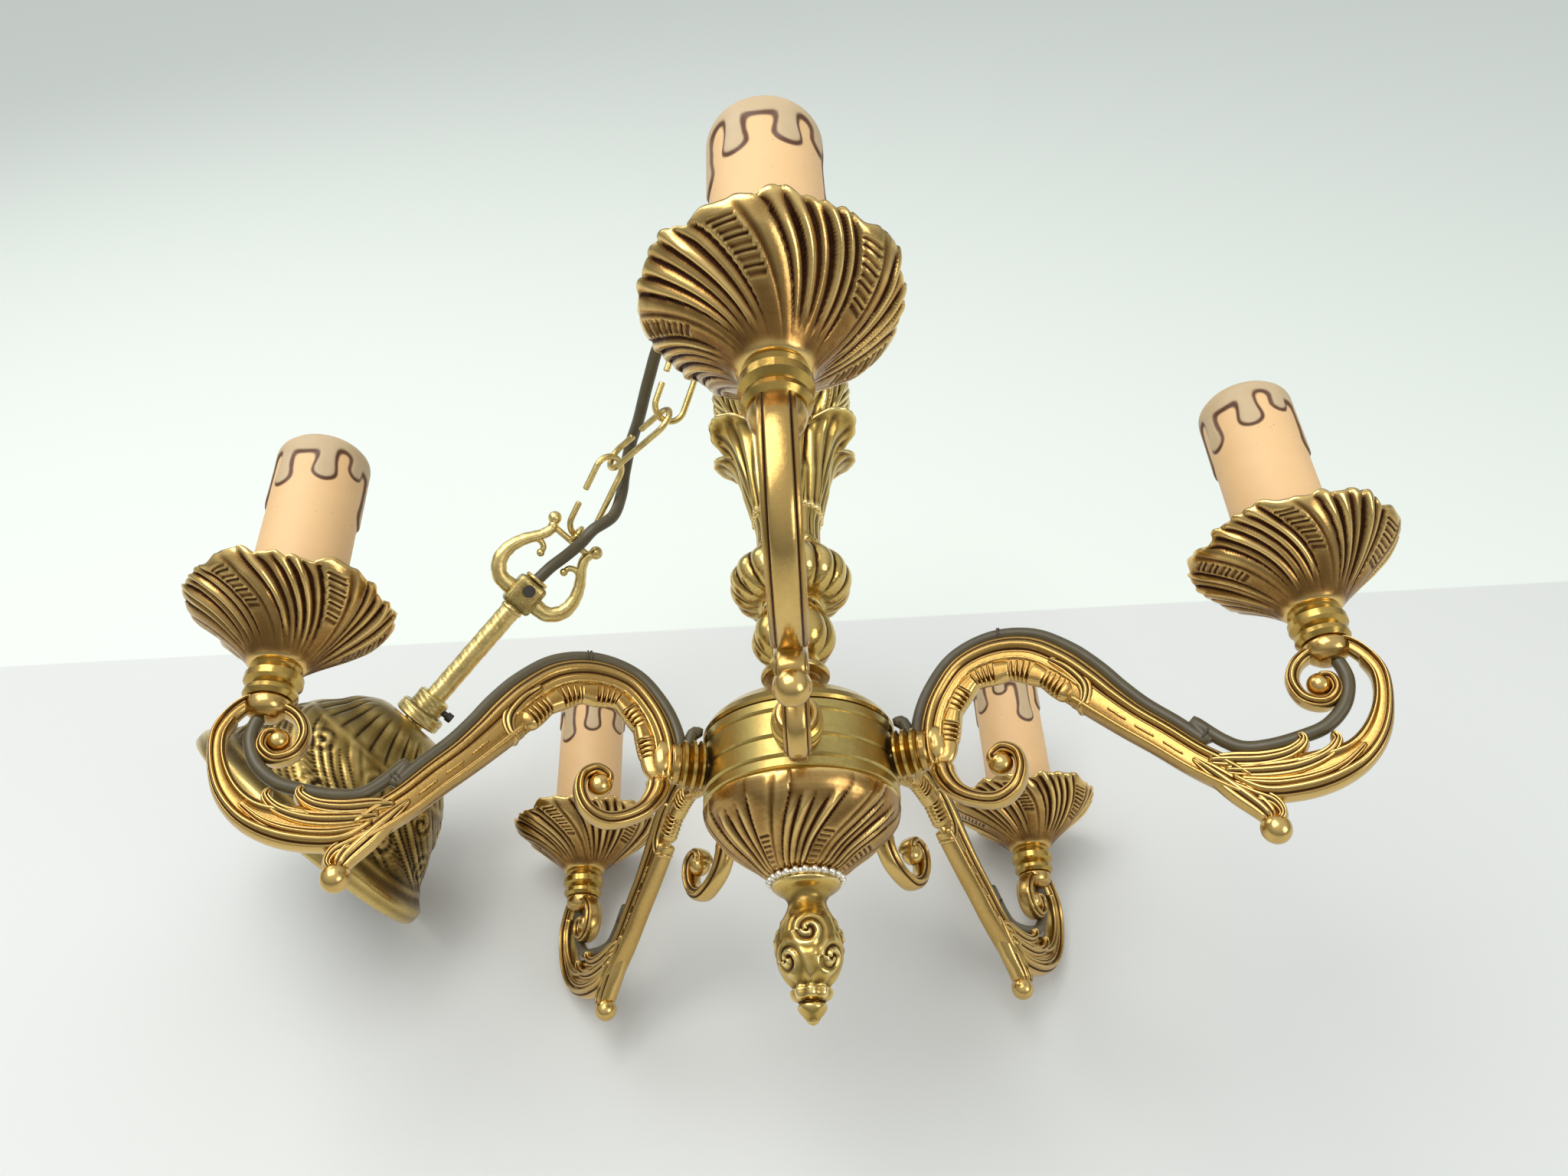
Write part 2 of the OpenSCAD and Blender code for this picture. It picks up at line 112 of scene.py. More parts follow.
def sampleLine(line, v):
    length = np.r_[0, np.cumsum(np.linalg.norm(np.diff(line[:, :2], axis=0), axis=1))]
    at = v * length[-1]
    return np.stack([np.interp(at, length, line[:, k]) for k in range(line.shape[1])], 1), at, length[-1]


def strandPiece(name, points, thick, around=40, along=120, ridges=1.5, groove=0.3, comb=None,
                roundWire=False, endRound=0.5, wave=None, square=2.8):
    line = smoothLine(points, 8)

    def place(u, v):
        at, dist, total = sampleLine(line, v)
        ahead, _, _ = sampleLine(line, np.clip(v + 0.004, 0, 1))
        behind, _, _ = sampleLine(line, np.clip(v - 0.004, 0, 1))
        run = ahead[:, :2] - behind[:, :2]
        run /= np.linalg.norm(run, axis=1)[:, None]
        side = np.stack([-run[:, 1], run[:, 0]], 1)
        width = at[:, 2].copy()
        if wave:
            width *= 1 + wave[0] * np.abs(np.sin(np.pi * dist / wave[1]))
        nearEnd = np.minimum(dist, total - dist)
        reach = np.maximum(width * endRound, 0.01)
        cap = np.sqrt(np.clip(1 - np.clip(1 - nearEnd / reach, 0, 1) ** 2, 0, 1))
        turn = u * 2
        front = np.where(turn < 1, 1.0, -1.0)
        if roundWire:
            q, y = np.cos(2 * np.pi * u), np.sin(2 * np.pi * u)
        else:
            q = 1 - 2 * np.where(turn < 1, turn, turn - 1)
            q = np.where(turn < 1, q, -q)
            q = 0.6 * q + 0.4 * np.sin(q * np.pi / 2)
            face = 1 - groove * (1 - np.abs(np.cos(ridges * np.pi * q)) ** 0.8)
            if comb:
                pitch, depth, group, rest = comb
                cycle = (dist % (group + rest)) < group
                tooth = 0.5 - 0.5 * np.cos(2 * np.pi * dist / pitch)
                face = face * (1 - depth * cycle * tooth * (np.abs(q) < 0.86))
            y = front * face * np.clip(1 - np.abs(q) ** square, 0, 1) ** 0.55
        s = q * width / 2 * cap
        y = y * thick / 2 * cap
        x, z = at[:, 0] + side[:, 0] * s, at[:, 1] + side[:, 1] * s
        return np.stack([x, y, z], 1)

    return gridPiece(name, around, along, place)


def ballPiece(name, at, radius, stretch=1.0, rings=14):
    bpy.ops.object.select_all(action="DESELECT")
    bpy.ops.mesh.primitive_uv_sphere_add(segments=rings * 2, ring_count=rings, radius=radius,
                                         location=at)
    piece = bpy.context.object
    piece.name = name
    piece.scale = (1, 1, stretch)
    bpy.ops.object.transform_apply(location=True, rotation=True, scale=True)
    bpy.ops.object.shade_smooth()
    return piece


def joinPieces(name, pieces):
    selectOnly(*pieces)
    bpy.ops.object.join()
    joined = bpy.context.object
    joined.name = joined.data.name = name
    return joined


outsideShare = {"turned": 0.92, "shell": 0.62}  # of the grid's rows, the part on the outside


def turnedPiece(name, profile, around=180, along=90, relief=None, bore=None, smoothSteps=0):
    outer = np.array(profile, float)
    if smoothSteps:
        outer = smoothLine(outer, smoothSteps)
    loop = outer
    if bore is not None:
        loop = np.vstack([outer, [[bore, outer[-1][1]], [bore, outer[0][1]], outer[0]]])
    length = np.r_[0, np.cumsum(np.linalg.norm(np.diff(loop, axis=0), axis=1))]
    outerLength = np.linalg.norm(np.diff(outer, axis=0), axis=1).sum()
    share = outsideShare["turned"] if bore is not None else 1.0

    def place(u, v):
        at = np.where(v < share, v / share * outerLength,
                      outerLength + (v - share) / max(1 - share, 1e-6)
                      * (length[-1] - outerLength))
        at = np.clip(at, 0, length[-1])
        r, z = np.interp(at, length, loop[:, 0]), np.interp(at, length, loop[:, 1])
        angle = 2 * np.pi * u
        along01 = np.clip(at / outerLength, 0, 1)
        if relief:
            outside = at <= outerLength
            dr, dz = relief(angle, along01, r, z)
            fade = np.clip(np.minimum(along01, 1 - along01) * 14, 0, 1) * outside
            r, z = r + dr * fade, z + dz * fade
        return np.stack([r * np.cos(angle), r * np.sin(angle), z], 1)

    return gridPiece(name, around, along, place)


# A hollow wall, open in the middle, from its outer and inner outlines.
def shellPiece(name, outer, inner, around, along, relief=None, smoothSteps=4):
    out, inn = smoothLine(outer, smoothSteps), smoothLine(inner, smoothSteps)
    loop = np.vstack([out, inn[::-1], out[:1]])
    length = np.r_[0, np.cumsum(np.linalg.norm(np.diff(loop, axis=0), axis=1))]
    outerLength = length[len(out) - 1]
    innerLength = length[len(out) + len(inn) - 1] - length[len(out)]
    share = outsideShare["shell"]

    def place(u, v):
        at = np.where(v < share, v / share * outerLength,
                      outerLength + (v - share) / (1 - share) * (length[-1] - outerLength))
        at = np.clip(at, 0, length[-1])
        r, z = np.interp(at, length, loop[:, 0]), np.interp(at, length, loop[:, 1])
        angle = 2 * np.pi * u
        onOuter = at <= outerLength
        along01 = np.where(onOuter, at / outerLength,
                           1 - np.clip((at - length[len(out)]) / innerLength, 0, 1))
        if relief:
            dr, dz = relief(angle, along01, r, z, onOuter)
            r, z = r + dr, z + dz
        return np.stack([r * np.cos(angle), r * np.sin(angle), z], 1)

    return gridPiece(name, around, along, place)


def tubePiece(name, points, radius, around=20, steps=6, across=(0, 1, 0)):
    line = smoothLine(points, steps)
    length = np.r_[0, np.cumsum(np.linalg.norm(np.diff(line, axis=0), axis=1))]
    up = np.array(across, float)

    def place(u, v):
        def spot(w):
            return np.stack([np.interp(np.clip(w, 0, 1) * length[-1], length, line[:, k])
                             for k in range(3)], 1)
        at = spot(v)
        run = spot(v + 0.004) - spot(v - 0.004)
        run /= np.linalg.norm(run, axis=1)[:, None]
        one = np.cross(run, up)
        one /= np.linalg.norm(one, axis=1)[:, None]
        two = np.cross(run, one)
        nearEnd = np.minimum(v, 1 - v) * length[-1]
        cap = np.sqrt(np.clip(1 - np.clip(1 - nearEnd / 0.6, 0, 1) ** 2, 0, 1))
        angle = 2 * np.pi * u
        return at + (radius * cap)[:, None] * (np.cos(angle)[:, None] * one
                                               + np.sin(angle)[:, None] * two)

    return gridPiece(name, around, max(len(line) * 2, 60), place)


def markHollows(piece, passes=8, depth=0.35):  # how far each point lies below its surroundings
    mesh = piece.data
    count = len(mesh.vertices)
    co, normal = np.empty(count * 3), np.empty(count * 3)
    mesh.vertices.foreach_get("co", co)
    mesh.vertices.foreach_get("normal", normal)
    co, normal = co.reshape(-1, 3), normal.reshape(-1, 3)
    ends = np.empty(len(mesh.edges) * 2, np.int32)
    mesh.edges.foreach_get("vertices", ends)
    a, b = ends[::2], ends[1::2]
    degree = np.maximum(np.bincount(np.r_[a, b], minlength=count), 1)[:, None]
    eased = co
    for _ in range(passes):
        eased = np.stack([np.bincount(a, eased[b, k], count) + np.bincount(b, eased[a, k], count)
                          for k in range(3)], 1) / degree
    hollow = np.clip(((eased - co) * normal).sum(1) / depth, -1, 1)
    layer = mesh.attributes.new("hollow", "FLOAT", "POINT")
    layer.data.foreach_set("value", hollow.astype(np.float32))


def newGroup(name, inputs, outputs):
    group = bpy.data.node_groups.new(name, "ShaderNodeTree")
    for label, kind in inputs:
        group.interface.new_socket(label, in_out="INPUT", socket_type="NodeSocket" + kind)
    for label, kind in outputs:
        group.interface.new_socket(label, in_out="OUTPUT", socket_type="NodeSocket" + kind)
    return group, group.nodes.new("NodeGroupInput"), group.nodes.new("NodeGroupOutput")


def put(tree, kind, settings=None, **inputs):
    node = tree.nodes.new("ShaderNode" + kind)
    for key, value in (settings or {}).items():
        setattr(node, key, value)
    for key, value in inputs.items():
        socket = node.inputs[int(key[1:]) if key[0] == "i" and key[1:].isdigit()
                             else key.replace("_", " ")]
        if isinstance(value, bpy.types.NodeSocket):
            tree.links.new(value, socket)
        else:
            socket.default_value = value
    return node


def calc(tree, how, a, b=0.0, limit=False):
    return put(tree, "Math", {"operation": how, "use_clamp": limit}, i0=a, i1=b).outputs[0]


def blendColour(tree, share, a, b):
    node = put(tree, "Mix", {"data_type": "RGBA"})
    for index, value in ((0, share), (6, a), (7, b)):
        if isinstance(value, bpy.types.NodeSocket):
            tree.links.new(value, node.inputs[index])
        else:
            node.inputs[index].default_value = value
    return node.outputs[2]


def buildPatina():
    group, given, result = newGroup("agedMetal", [
        ("Vector", "Vector"), ("Hollow", "Float"), ("Metal", "Color"), ("Dirt", "Color"),
        ("Rubbed", "Color"), ("Dirt Reach", "Float"), ("Rub Reach", "Float"),
        ("Blotch Scale", "Float"), ("Blotch", "Float"), ("Polish", "Float")],
        [("Color", "Color"), ("Roughness", "Float"), ("Height", "Float")])
    g = given.outputs
    big = put(group, "TexNoise", None, Vector=g["Vector"], Scale=g["Blotch Scale"], Detail=5.0,
              Roughness=0.6).outputs[0]
    fineScale = calc(group, "MULTIPLY", g["Blotch Scale"], 11.0)
    fine = put(group, "TexNoise", None, Vector=g["Vector"], Scale=fineScale, Detail=4.0,
               Roughness=0.65).outputs[0]
    bigOff = calc(group, "SUBTRACT", big, 0.5)
    fineOff = calc(group, "SUBTRACT", fine, 0.5)
    speck = calc(group, "ADD", calc(group, "MULTIPLY", bigOff, 1.3), calc(group, "MULTIPLY", fineOff, 0.9))
    dirtRaw = calc(group, "ADD", calc(group, "MULTIPLY", g["Hollow"], g["Dirt Reach"]),
                   calc(group, "MULTIPLY", speck, g["Blotch"]))
    dirt = calc(group, "ADD", dirtRaw, 0.06, True)
    raised = calc(group, "MULTIPLY", g["Hollow"], -1.0)
    rubRaw = calc(group, "SUBTRACT", calc(group, "MULTIPLY", raised, g["Rub Reach"]),
                  calc(group, "MULTIPLY", speck, calc(group, "MULTIPLY", g["Blotch"], 0.55)))
    rub = calc(group, "SUBTRACT", rubRaw, 0.05, True)
    colour = blendColour(group, rub, g["Metal"], g["Rubbed"])
    colour = blendColour(group, dirt, colour, g["Dirt"])
    rough = calc(group, "ADD", g["Polish"], calc(group, "MULTIPLY", dirt, 0.28))
    rough = calc(group, "ADD", rough, calc(group, "MULTIPLY", fineOff, 0.22))
    rough = calc(group, "SUBTRACT", rough, calc(group, "MULTIPLY", rub, 0.06), True)
    height = calc(group, "ADD", calc(group, "MULTIPLY", fine, 0.6), calc(group, "MULTIPLY", big, 0.4))
    group.links.new(colour, result.inputs["Color"])
    group.links.new(rough, result.inputs["Roughness"])
    group.links.new(height, result.inputs["Height"])
    return group


patina = buildPatina()


def startFinish(name, metallic=0.0, **plain):
    finish = bpy.data.materials.new(name)
    finish.use_nodes = True
    tree = finish.node_tree
    shader = tree.nodes["Principled BSDF"]
    shader.inputs["Metallic"].default_value = metallic
    for key, value in plain.items():
        shader.inputs[key.replace("_", " ")].default_value = value
    where = tree.nodes.new("ShaderNodeTexCoord").outputs["Object"]
    return finish, tree, shader, where


def agedMetal(name, metal, dirt, rubbed, dirtReach=1.3, rubReach=0.9, blotchScale=70.0,
              blotch=0.5, polish=0.3, bump=0.12, bumpSize=0.0006):
    finish, tree, shader, where = startFinish(name, 1.0)
    hollow = put(tree, "Attribute", {"attribute_name": "hollow"}).outputs["Fac"]
    aged = put(tree, "Group", {"node_tree": patina}, Vector=where, Hollow=hollow,
               Metal=(*metal, 1), Dirt=(*dirt, 1), Rubbed=(*rubbed, 1), Dirt_Reach=dirtReach,
               Rub_Reach=rubReach, Blotch_Scale=blotchScale, Blotch=blotch, Polish=polish)
    tree.links.new(aged.outputs["Color"], shader.inputs["Base Color"])
    tree.links.new(aged.outputs["Roughness"], shader.inputs["Roughness"])
    lift = put(tree, "Bump", None, Strength=bump, Distance=bumpSize, Height=aged.outputs["Height"])
    tree.links.new(lift.outputs[0], shader.inputs["Normal"])
    return finish


antiqueBrass = agedMetal("antiqueBrass", (0.40, 0.235, 0.062), (0.050, 0.020, 0.009),
                         (0.86, 0.62, 0.23), 1.7, 1.1, 75, 0.5, 0.27)
armBrass = agedMetal("armBrass", (0.40, 0.235, 0.064), (0.055, 0.022, 0.009),
                     (0.76, 0.53, 0.19), 2.2, 0.8, 75, 0.5, 0.26)
cupBrass = agedMetal("cupBrass", (0.31, 0.165, 0.047), (0.050, 0.019, 0.009),
                     (0.82, 0.57, 0.21), 2.2, 1.3, 60, 0.8, 0.26)
goldenBrass = agedMetal("goldenBrass", (0.52, 0.345, 0.09), (0.06, 0.026, 0.010),
                        (0.95, 0.74, 0.31), 1.6, 1.0, 75, 0.4, 0.2)
satinBrass = agedMetal("satinBrass", (0.53, 0.40, 0.13), (0.15, 0.09, 0.03),
                       (0.80, 0.66, 0.28), 1.3, 0.8, 45, 0.6, 0.33)
wornBrass = agedMetal("wornBrass", (0.36, 0.27, 0.095), (0.10, 0.075, 0.03),
                      (0.80, 0.62, 0.25), 1.2, 0.9, 150, 2.6, 0.28, 0.3)
canopyBrass = agedMetal("canopyBrass", (0.25, 0.165, 0.045), (0.045, 0.026, 0.011),
                        (0.62, 0.45, 0.16), 1.6, 1.1, 90, 0.9, 0.33)
silvered = agedMetal("silvered", (0.66, 0.60, 0.48), (0.14, 0.11, 0.08), (0.9, 0.87, 0.78),
                     1.2, 0.8, 200, 0.4, 0.3)
zincSteel = agedMetal("zincSteel", (0.55, 0.53, 0.48), (0.2, 0.18, 0.15), (0.8, 0.8, 0.76),
                      1.0, 0.5, 160, 0.5, 0.34)
blackSteel = agedMetal("blackSteel", (0.09, 0.085, 0.08), (0.03, 0.028, 0.026),
                       (0.3, 0.29, 0.28), 1.0, 0.6, 200, 0.4, 0.4)


def makePlastic(name, colour, shade, scale, rough, bumpSize=0.0002):
    finish, tree, shader, where = startFinish(name)
    noise = put(tree, "TexNoise", None, Vector=where, Scale=scale, Detail=5.0).outputs[0]
    tint = blendColour(tree, noise, (*colour, 1), (*shade, 1))
    tree.links.new(tint, shader.inputs["Base Color"])
    rise = put(tree, "MapRange", None, Value=noise, i3=rough - 0.08, i4=rough + 0.1).outputs[0]
    tree.links.new(rise, shader.inputs["Roughness"])
    lift = put(tree, "Bump", None, Strength=0.2, Distance=bumpSize, Height=noise)
    tree.links.new(lift.outputs[0], shader.inputs["Normal"])
    return finish


flexSkin = makePlastic("flexSkin", (0.115, 0.092, 0.042), (0.062, 0.050, 0.026), 160, 0.36)
tieThread = makePlastic("tieThread", (0.10, 0.075, 0.045), (0.05, 0.035, 0.02), 900, 0.6)
holderPlastic = makePlastic("holderPlastic", (0.72, 0.66, 0.52), (0.6, 0.54, 0.42), 90, 0.45)


def makeWax():
    finish, tree, shader, where = startFinish("candleWax", 0.0, Subsurface_Weight=0.12,
                                              Subsurface_Scale=0.004)
    shader.inputs["Subsurface Radius"].default_value = (1.0, 0.5, 0.25)
    edge = put(tree, "Attribute", {"attribute_name": "wax"}).outputs["Fac"]
    noise = put(tree, "TexNoise", None, Vector=where, Scale=120.0, Detail=5.0).outputs[0]
    speck = put(tree, "TexNoise", None, Vector=where, Scale=900.0, Detail=2.0).outputs[0]
    body = blendColour(tree, noise, (0.86, 0.555, 0.27, 1), (0.79, 0.50, 0.235, 1))
    drip = blendColour(tree, noise, (0.62, 0.47, 0.28, 1), (0.52, 0.38, 0.21, 1))
    inside = put(tree, "MapRange", None, Value=edge, i1=0.15, i2=-0.25).outputs[0]
    colour = blendColour(tree, inside, body, drip)
    band = calc(tree, "ABSOLUTE", calc(tree, "SUBTRACT", edge, 0.25))
    wobble = calc(tree, "MULTIPLY", calc(tree, "SUBTRACT", noise, 0.5), 0.9)
    line = put(tree, "MapRange", {"interpolation_type": "SMOOTHSTEP"},
               Value=calc(tree, "ADD", band, wobble), i1=1.05, i2=0.25).outputs[0]
    colour = blendColour(tree, line, colour, (0.12, 0.045, 0.016, 1))
    pits = put(tree, "MapRange", None, Value=speck, i1=0.735, i2=0.78).outputs[0]
    colour = blendColour(tree, pits, colour, (0.30, 0.16, 0.07, 1))
    tree.links.new(colour, shader.inputs["Base Color"])
    tree.links.new(put(tree, "MapRange", None, Value=noise, i3=0.42, i4=0.6).outputs[0],
                   shader.inputs["Roughness"])
    lift = put(tree, "Bump", None, Strength=0.15, Distance=0.0002,
               Height=calc(tree, "ADD", noise, speck))
    tree.links.new(lift.outputs[0], shader.inputs["Normal"])
    return finish


candleWax = makeWax()
print("finishes made")


def settle(piece, body, finish, replaced=(), turn=0.0, hollows=True, depth=0.35, passes=8):
    if hollows and "hollow" not in piece.data.attributes:
        markHollows(piece, passes, depth)
    piece.data.transform(layDown @ Matrix.Rotation(math.radians(turn), 4, "Z"))
    piece.data.materials.clear()
    piece.data.materials.append(finish)
    if body:
        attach(piece, body)
    if replaced:
        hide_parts(*replaced)
    return piece


def onEveryArm(first, name, body, slotName, finish, replacedPattern, **how):
    if "hollow" not in first.data.attributes:
        markHollows(first, how.pop("passes", 8), how.pop("depth", 0.35))
    for k in range(5):
        if k < 4:
            piece = first.copy()
            piece.data = first.data.copy()
            bpy.context.scene.collection.objects.link(piece)
        else:
            piece = first
        piece.name = piece.data.name = name % (k + 1)
        settle(piece, body % (k + 1) if "%" in body else body, finish,
               [replacedPattern % (k + 1)], armTurns[k])


armStyle = {
    "thick": 8.4,
    "scroll": [[51, -8, 10], [50.8, 0, 13], [52.3, 9, 13.5], [56.5, 18, 13.5], [64, 26, 14.5],
               [74.5, 28.7, 16.5], [85, 27, 16.5], [94, 20.5, 16], [101.5, 12, 15.5],
               [108, 4, 13.5], [115, -4, 12], [123, -12, 11.5], [131, -20.5, 11],
               [139, -27.5, 11], [145, -33, 9], [147.5, -40, 6], [148.5, -45, 6]],
    "hubCurl": [[51, -5, 9], [51.5, -11, 8], [55, -17, 6.5], [61, -21, 5.5], [68, -22.5, 5.5],
                [74, -19.5, 5], [77.2, -13.5, 4.5], [76.5, -7.5, 4.2], [72, -4.8, 4],
                [68, -7, 3.5], [68, -10.5, 3]],
    "tail": [[141, -27, 8], [149, -32, 12], [158, -32.5, 14], [168, -31.5, 13],
             [177, -28.5, 10], [184, -22, 8], [188.5, -13, 6], [190, -4, 5.5],
             [187.8, 3, 5.2], [183.5, 8, 5], [178, 8.6, 4.5]],
    "cupCurl": [[182, 8.2, 4], [175, 8, 4.5], [168.5, 5, 4.5], [165.3, -1, 4.5],
                [167, -7.5, 4.3], [172.5, -10.3, 4], [177, -7, 3.6], [176.5, -2.3, 3.2],
                [172.5, -1.2, 3]],
    "leaves": [
        [[134, -23, 3], [141, -24, 6.5], [150, -25.5, 6.5], [158, -25, 5.4], [163, -22, 3.8],
         [162, -19, 2.4]],
        [[138, -27, 3], [148, -29, 6.5], [159, -29.6, 6.6], [168, -27.5, 5], [172.5, -23.5, 3.4],
         [171, -20.6, 2.2]],
        [[141, -31, 4], [152, -34, 5.5], [163, -34, 5], [172, -31.5, 3.6], [180, -26, 2]],
        [[130, -21, 2], [135, -26.5, 6], [141, -33.5, 8.5], [146, -40, 7.5], [148.5, -45, 5]],
        [[139, -31, 3], [145, -35.5, 5.5], [150, -39, 4.4], [151.5, -43, 3], [149.5, -45.4, 2.4]],
    ],
    "shoulderLeaf": [[92, 24, 3], [98, 19, 6.5], [102.5, 11.5, 6.5], [101.5, 5.5, 4.4],
                     [98.4, 3.4, 2.4]],
    # round ends: name, place, radius, stretch, rings
    "balls": [("hubRoot", (49.6, 0, 1.5), 4.6, 1.6, 10), ("scrollEye", (70.6, 0, -10.2), 4.2, 1, 12),
              ("cupEye", (172.6, 0, -3.6), 3.8, 1, 12), ("knob", (148.5, 0, -46.9), 4.6, 1.02, 14)],
    "boss": [[6.8, 0], [7.1, 0.8], [7.1, 2.4], [6.4, 3.2]], "bossAt": 44, "studBore": 3.2,
    "neckSeat": [[0, 2.6], [4, 3.4], [6.4, 5.4], [7.1, 7.2], [7.1, 9.4], [6.6, 10], [0, 10]],
}


def outerBand(points, side, keep):  # a narrower line that runs along one side of a strand
    out = []
    pts = np.array(points, float)
    for i, (x, z, w) in enumerate(pts):
        run = pts[min(i + 1, len(pts) - 1)][:2] - pts[max(i - 1, 0)][:2]
        run = run / np.linalg.norm(run)
        shift = side * w / 2 * (1 - keep)
        out.append([x - run[1] * shift, z + run[0] * shift, w * keep])
    return out


def makeArm():
    s = armStyle
    t = s["thick"]
    parts = []
    body = s["scroll"]
    parts.append(strandPiece("armBody", body, t * 0.62, 24, 130, 0.5, 0.12))
    # smooth roll along the outside of the scroll, with a bead-edged rail beside it
    parts.append(strandPiece("armRoll", outerBand(body[:15], 1, 0.5), t * 1.04, 40, 190, 1.0, 0.3,
                             square=2.05))
    parts.append(strandPiece("armRail", outerBand(body[8:15], -1, 0.24), t * 0.94, 22, 90, 0.5, 0.1))
    # shell-edged frill inside the C, cut with groups of short grooves
    frill = [[x, z, max(w, 5.2)] for x, z, w in outerBand(body[1:9], -1, 0.4)]
    parts.append(strandPiece("armFrill", frill, t * 0.8, 24, 300, 0.5, 0.08,
                             comb=(1.9, 0.5, 8.4, 4.6), wave=(0.3, 13.0), square=4.0))
    edge = [[x, z, 1.5] for x, z, w in outerBand(body[1:9], -1, 0.86)]
    parts.append(strandPiece("frillEdge", edge, t * 0.9, 12, 160, 0.5, 0.05, roundWire=True,
                             wave=(0.35, 4.2)))
    parts.append(strandPiece("hubCurl", s["hubCurl"], t, 32, 120, 1.0, 0.34))
    parts.append(strandPiece("tailBand", s["tail"], t * 0.6, 22, 110, 0.5, 0.1))
    parts.append(strandPiece("tailRollOut", outerBand(s["tail"], -1, 0.46), t * 1.08, 28, 140, 1.0,
                             0.28, square=2.05))
    parts.append(strandPiece("tailRollIn", outerBand(s["tail"][2:9], 1, 0.4), t * 0.92, 24, 90,
                             1.0, 0.3))
    parts.append(strandPiece("cupCurl", s["cupCurl"], t, 32, 110, 1.0, 0.34))
    # short cut marks in threes along the straight part
    straight = smoothLine(body[9:14], 12)
    for k in range(4):
        for notch in range(4):
            at = straight[min(int(4 + k * 11 + notch * 1.6), len(straight) - 1)]
            for face in (1, -1):
                parts.append(strandPiece("cutMark", [[at[0] - 1.7, at[1] - 0.5, 0.8],
                                                     [at[0] - 0.4, at[1] - 1.8, 0.8],
                                                     [at[0] + 0.9, at[1] - 3.1, 0.8]],
                                         1.6, 8, 8, roundWire=True))
                parts[-1].data.transform(Matrix.Translation((0, face * t * 0.34, 0)))
    # leaf that wraps the lower bend: a broad blade each way, with curled lips
    for k, finger in enumerate(s["leaves"]):
        parts.append(strandPiece("armLeaf", finger, t * (1.14 - 0.05 * k), 28, 60, 1.5, 0.3,
                                 square=2.2))
    parts.append(strandPiece("shoulderLeaf", s["shoulderLeaf"], t * 1.02, 26, 70, 1.5, 0.3,
                             square=2.2))
    for ball in s["balls"]:
        parts.append(ballPiece(*ball))
    boss = turnedPiece("boss", s["boss"], 40, 20, bore=s["studBore"])
    boss.data.transform(Matrix.Translation((s["bossAt"], 0, 0))
                        @ Matrix.Rotation(math.pi / 2, 4, "Y"))
    seat = turnedPiece("neckSeat", s["neckSeat"], 40, 24)
    seat.data.transform(toCup)
    parts += [boss, seat]
    return joinPieces("castArm", parts)


onEveryArm(makeArm(), "castArm_%d", "chandelier", "antique_brass", armBrass, "arm_%d",
           depth=0.30, passes=3)
print("arms made")


cupStyle = {
    "repeats": 5, "twist": 0.6, "depth": 2.3, "rimWave": 1.6,
    "outer": [[5.2, 22], [8.6, 22], [11, 24.6], [15, 28.6], [21, 34], [28, 40], [33.4, 45.3],
              [33.6, 46.8]],
    "inner": [[5.2, 24], [8, 24], [9.8, 26.2], [14, 30.3], [20, 35.7], [27, 41.7],
              [32, 46.4], [32.9, 47]],
}


def swirl(angle, share, repeats, twist, panel, flutes):  # height of a swirled leaf pattern, -1 to 1
    sweep = twist * share ** 1.4 * repeats / 6 + 0.035 * np.sin(angle * 2 + share * 5)
    whole = angle / (2 * np.pi) * repeats + sweep
    turn = whole % 1
    which = np.floor(whole) % repeats
    p = np.clip(turn / panel, 0, 1)
    broad = 0.75 * np.sin(np.pi * p ** 1.3) ** 0.6 - 0.3 * np.exp(-((p - 0.62) / 0.07) ** 2) - 0.05
    cuts = np.where((p > 0.1) & (p < 0.5) & (share > 0.5) & (share < 0.88),
                    0.4 * (0.5 - 0.5 * np.cos(2 * np.pi * share * 22)), 0)
    f = np.clip((turn - panel) / (1 - panel), 0, 1)
    step = f ** (0.85 + 0.3 * share) * flutes
    phase, index = step % 1, np.floor(step)
    tall = 0.72 + 0.28 * np.sin(index * 2.4 + which * 1.7)
    start = 0.12 + 0.16 * (0.5 + 0.5 * np.sin(index * 3.1 + which * 2.3))
    born = np.clip((share - start) * 7, 0, 1)
    thin = tall * np.sin(np.pi * phase ** 0.65) ** 0.75 * 1.35 - 0.75
    thin = thin * born - 0.25 * (1 - born)
    return np.where(turn < panel, broad - cuts, thin)


def cupRelief(angle, share, r, z, onOuter):
    c = cupStyle
    grow = np.clip((share - 0.14) * 1.5, 0, 1) ** 0.8
    lift = swirl(angle, share, c["repeats"], c["twist"], 0.4, 5) * c["depth"] * grow
    lift = np.where(onOuter, lift, lift * 0.55)
    rim = np.clip((share - 0.8) / 0.2, 0, 1) ** 1.5
    ripple = (0.55 * np.sin(6 * angle + 1.1) + 0.3 * np.sin(13 * angle + 0.4)
              + 0.25 * np.sin(23 * angle))
    return (lift * (0.7 - 0.35 * rim) + rim * (ripple - 0.5) * 0.9,
            -lift * 0.65 * (1 - rim) + rim * (ripple * c["rimWave"] + lift * 0.3 - 0.4))


cup = shellPiece("cup", cupStyle["outer"], cupStyle["inner"], 360, 88, cupRelief)
cup.data.transform(toCup)
onEveryArm(cup, "flutedCup_%d", "chandelier", "antique_brass", cupBrass, "cup_%d", depth=0.45)
print("cups made")


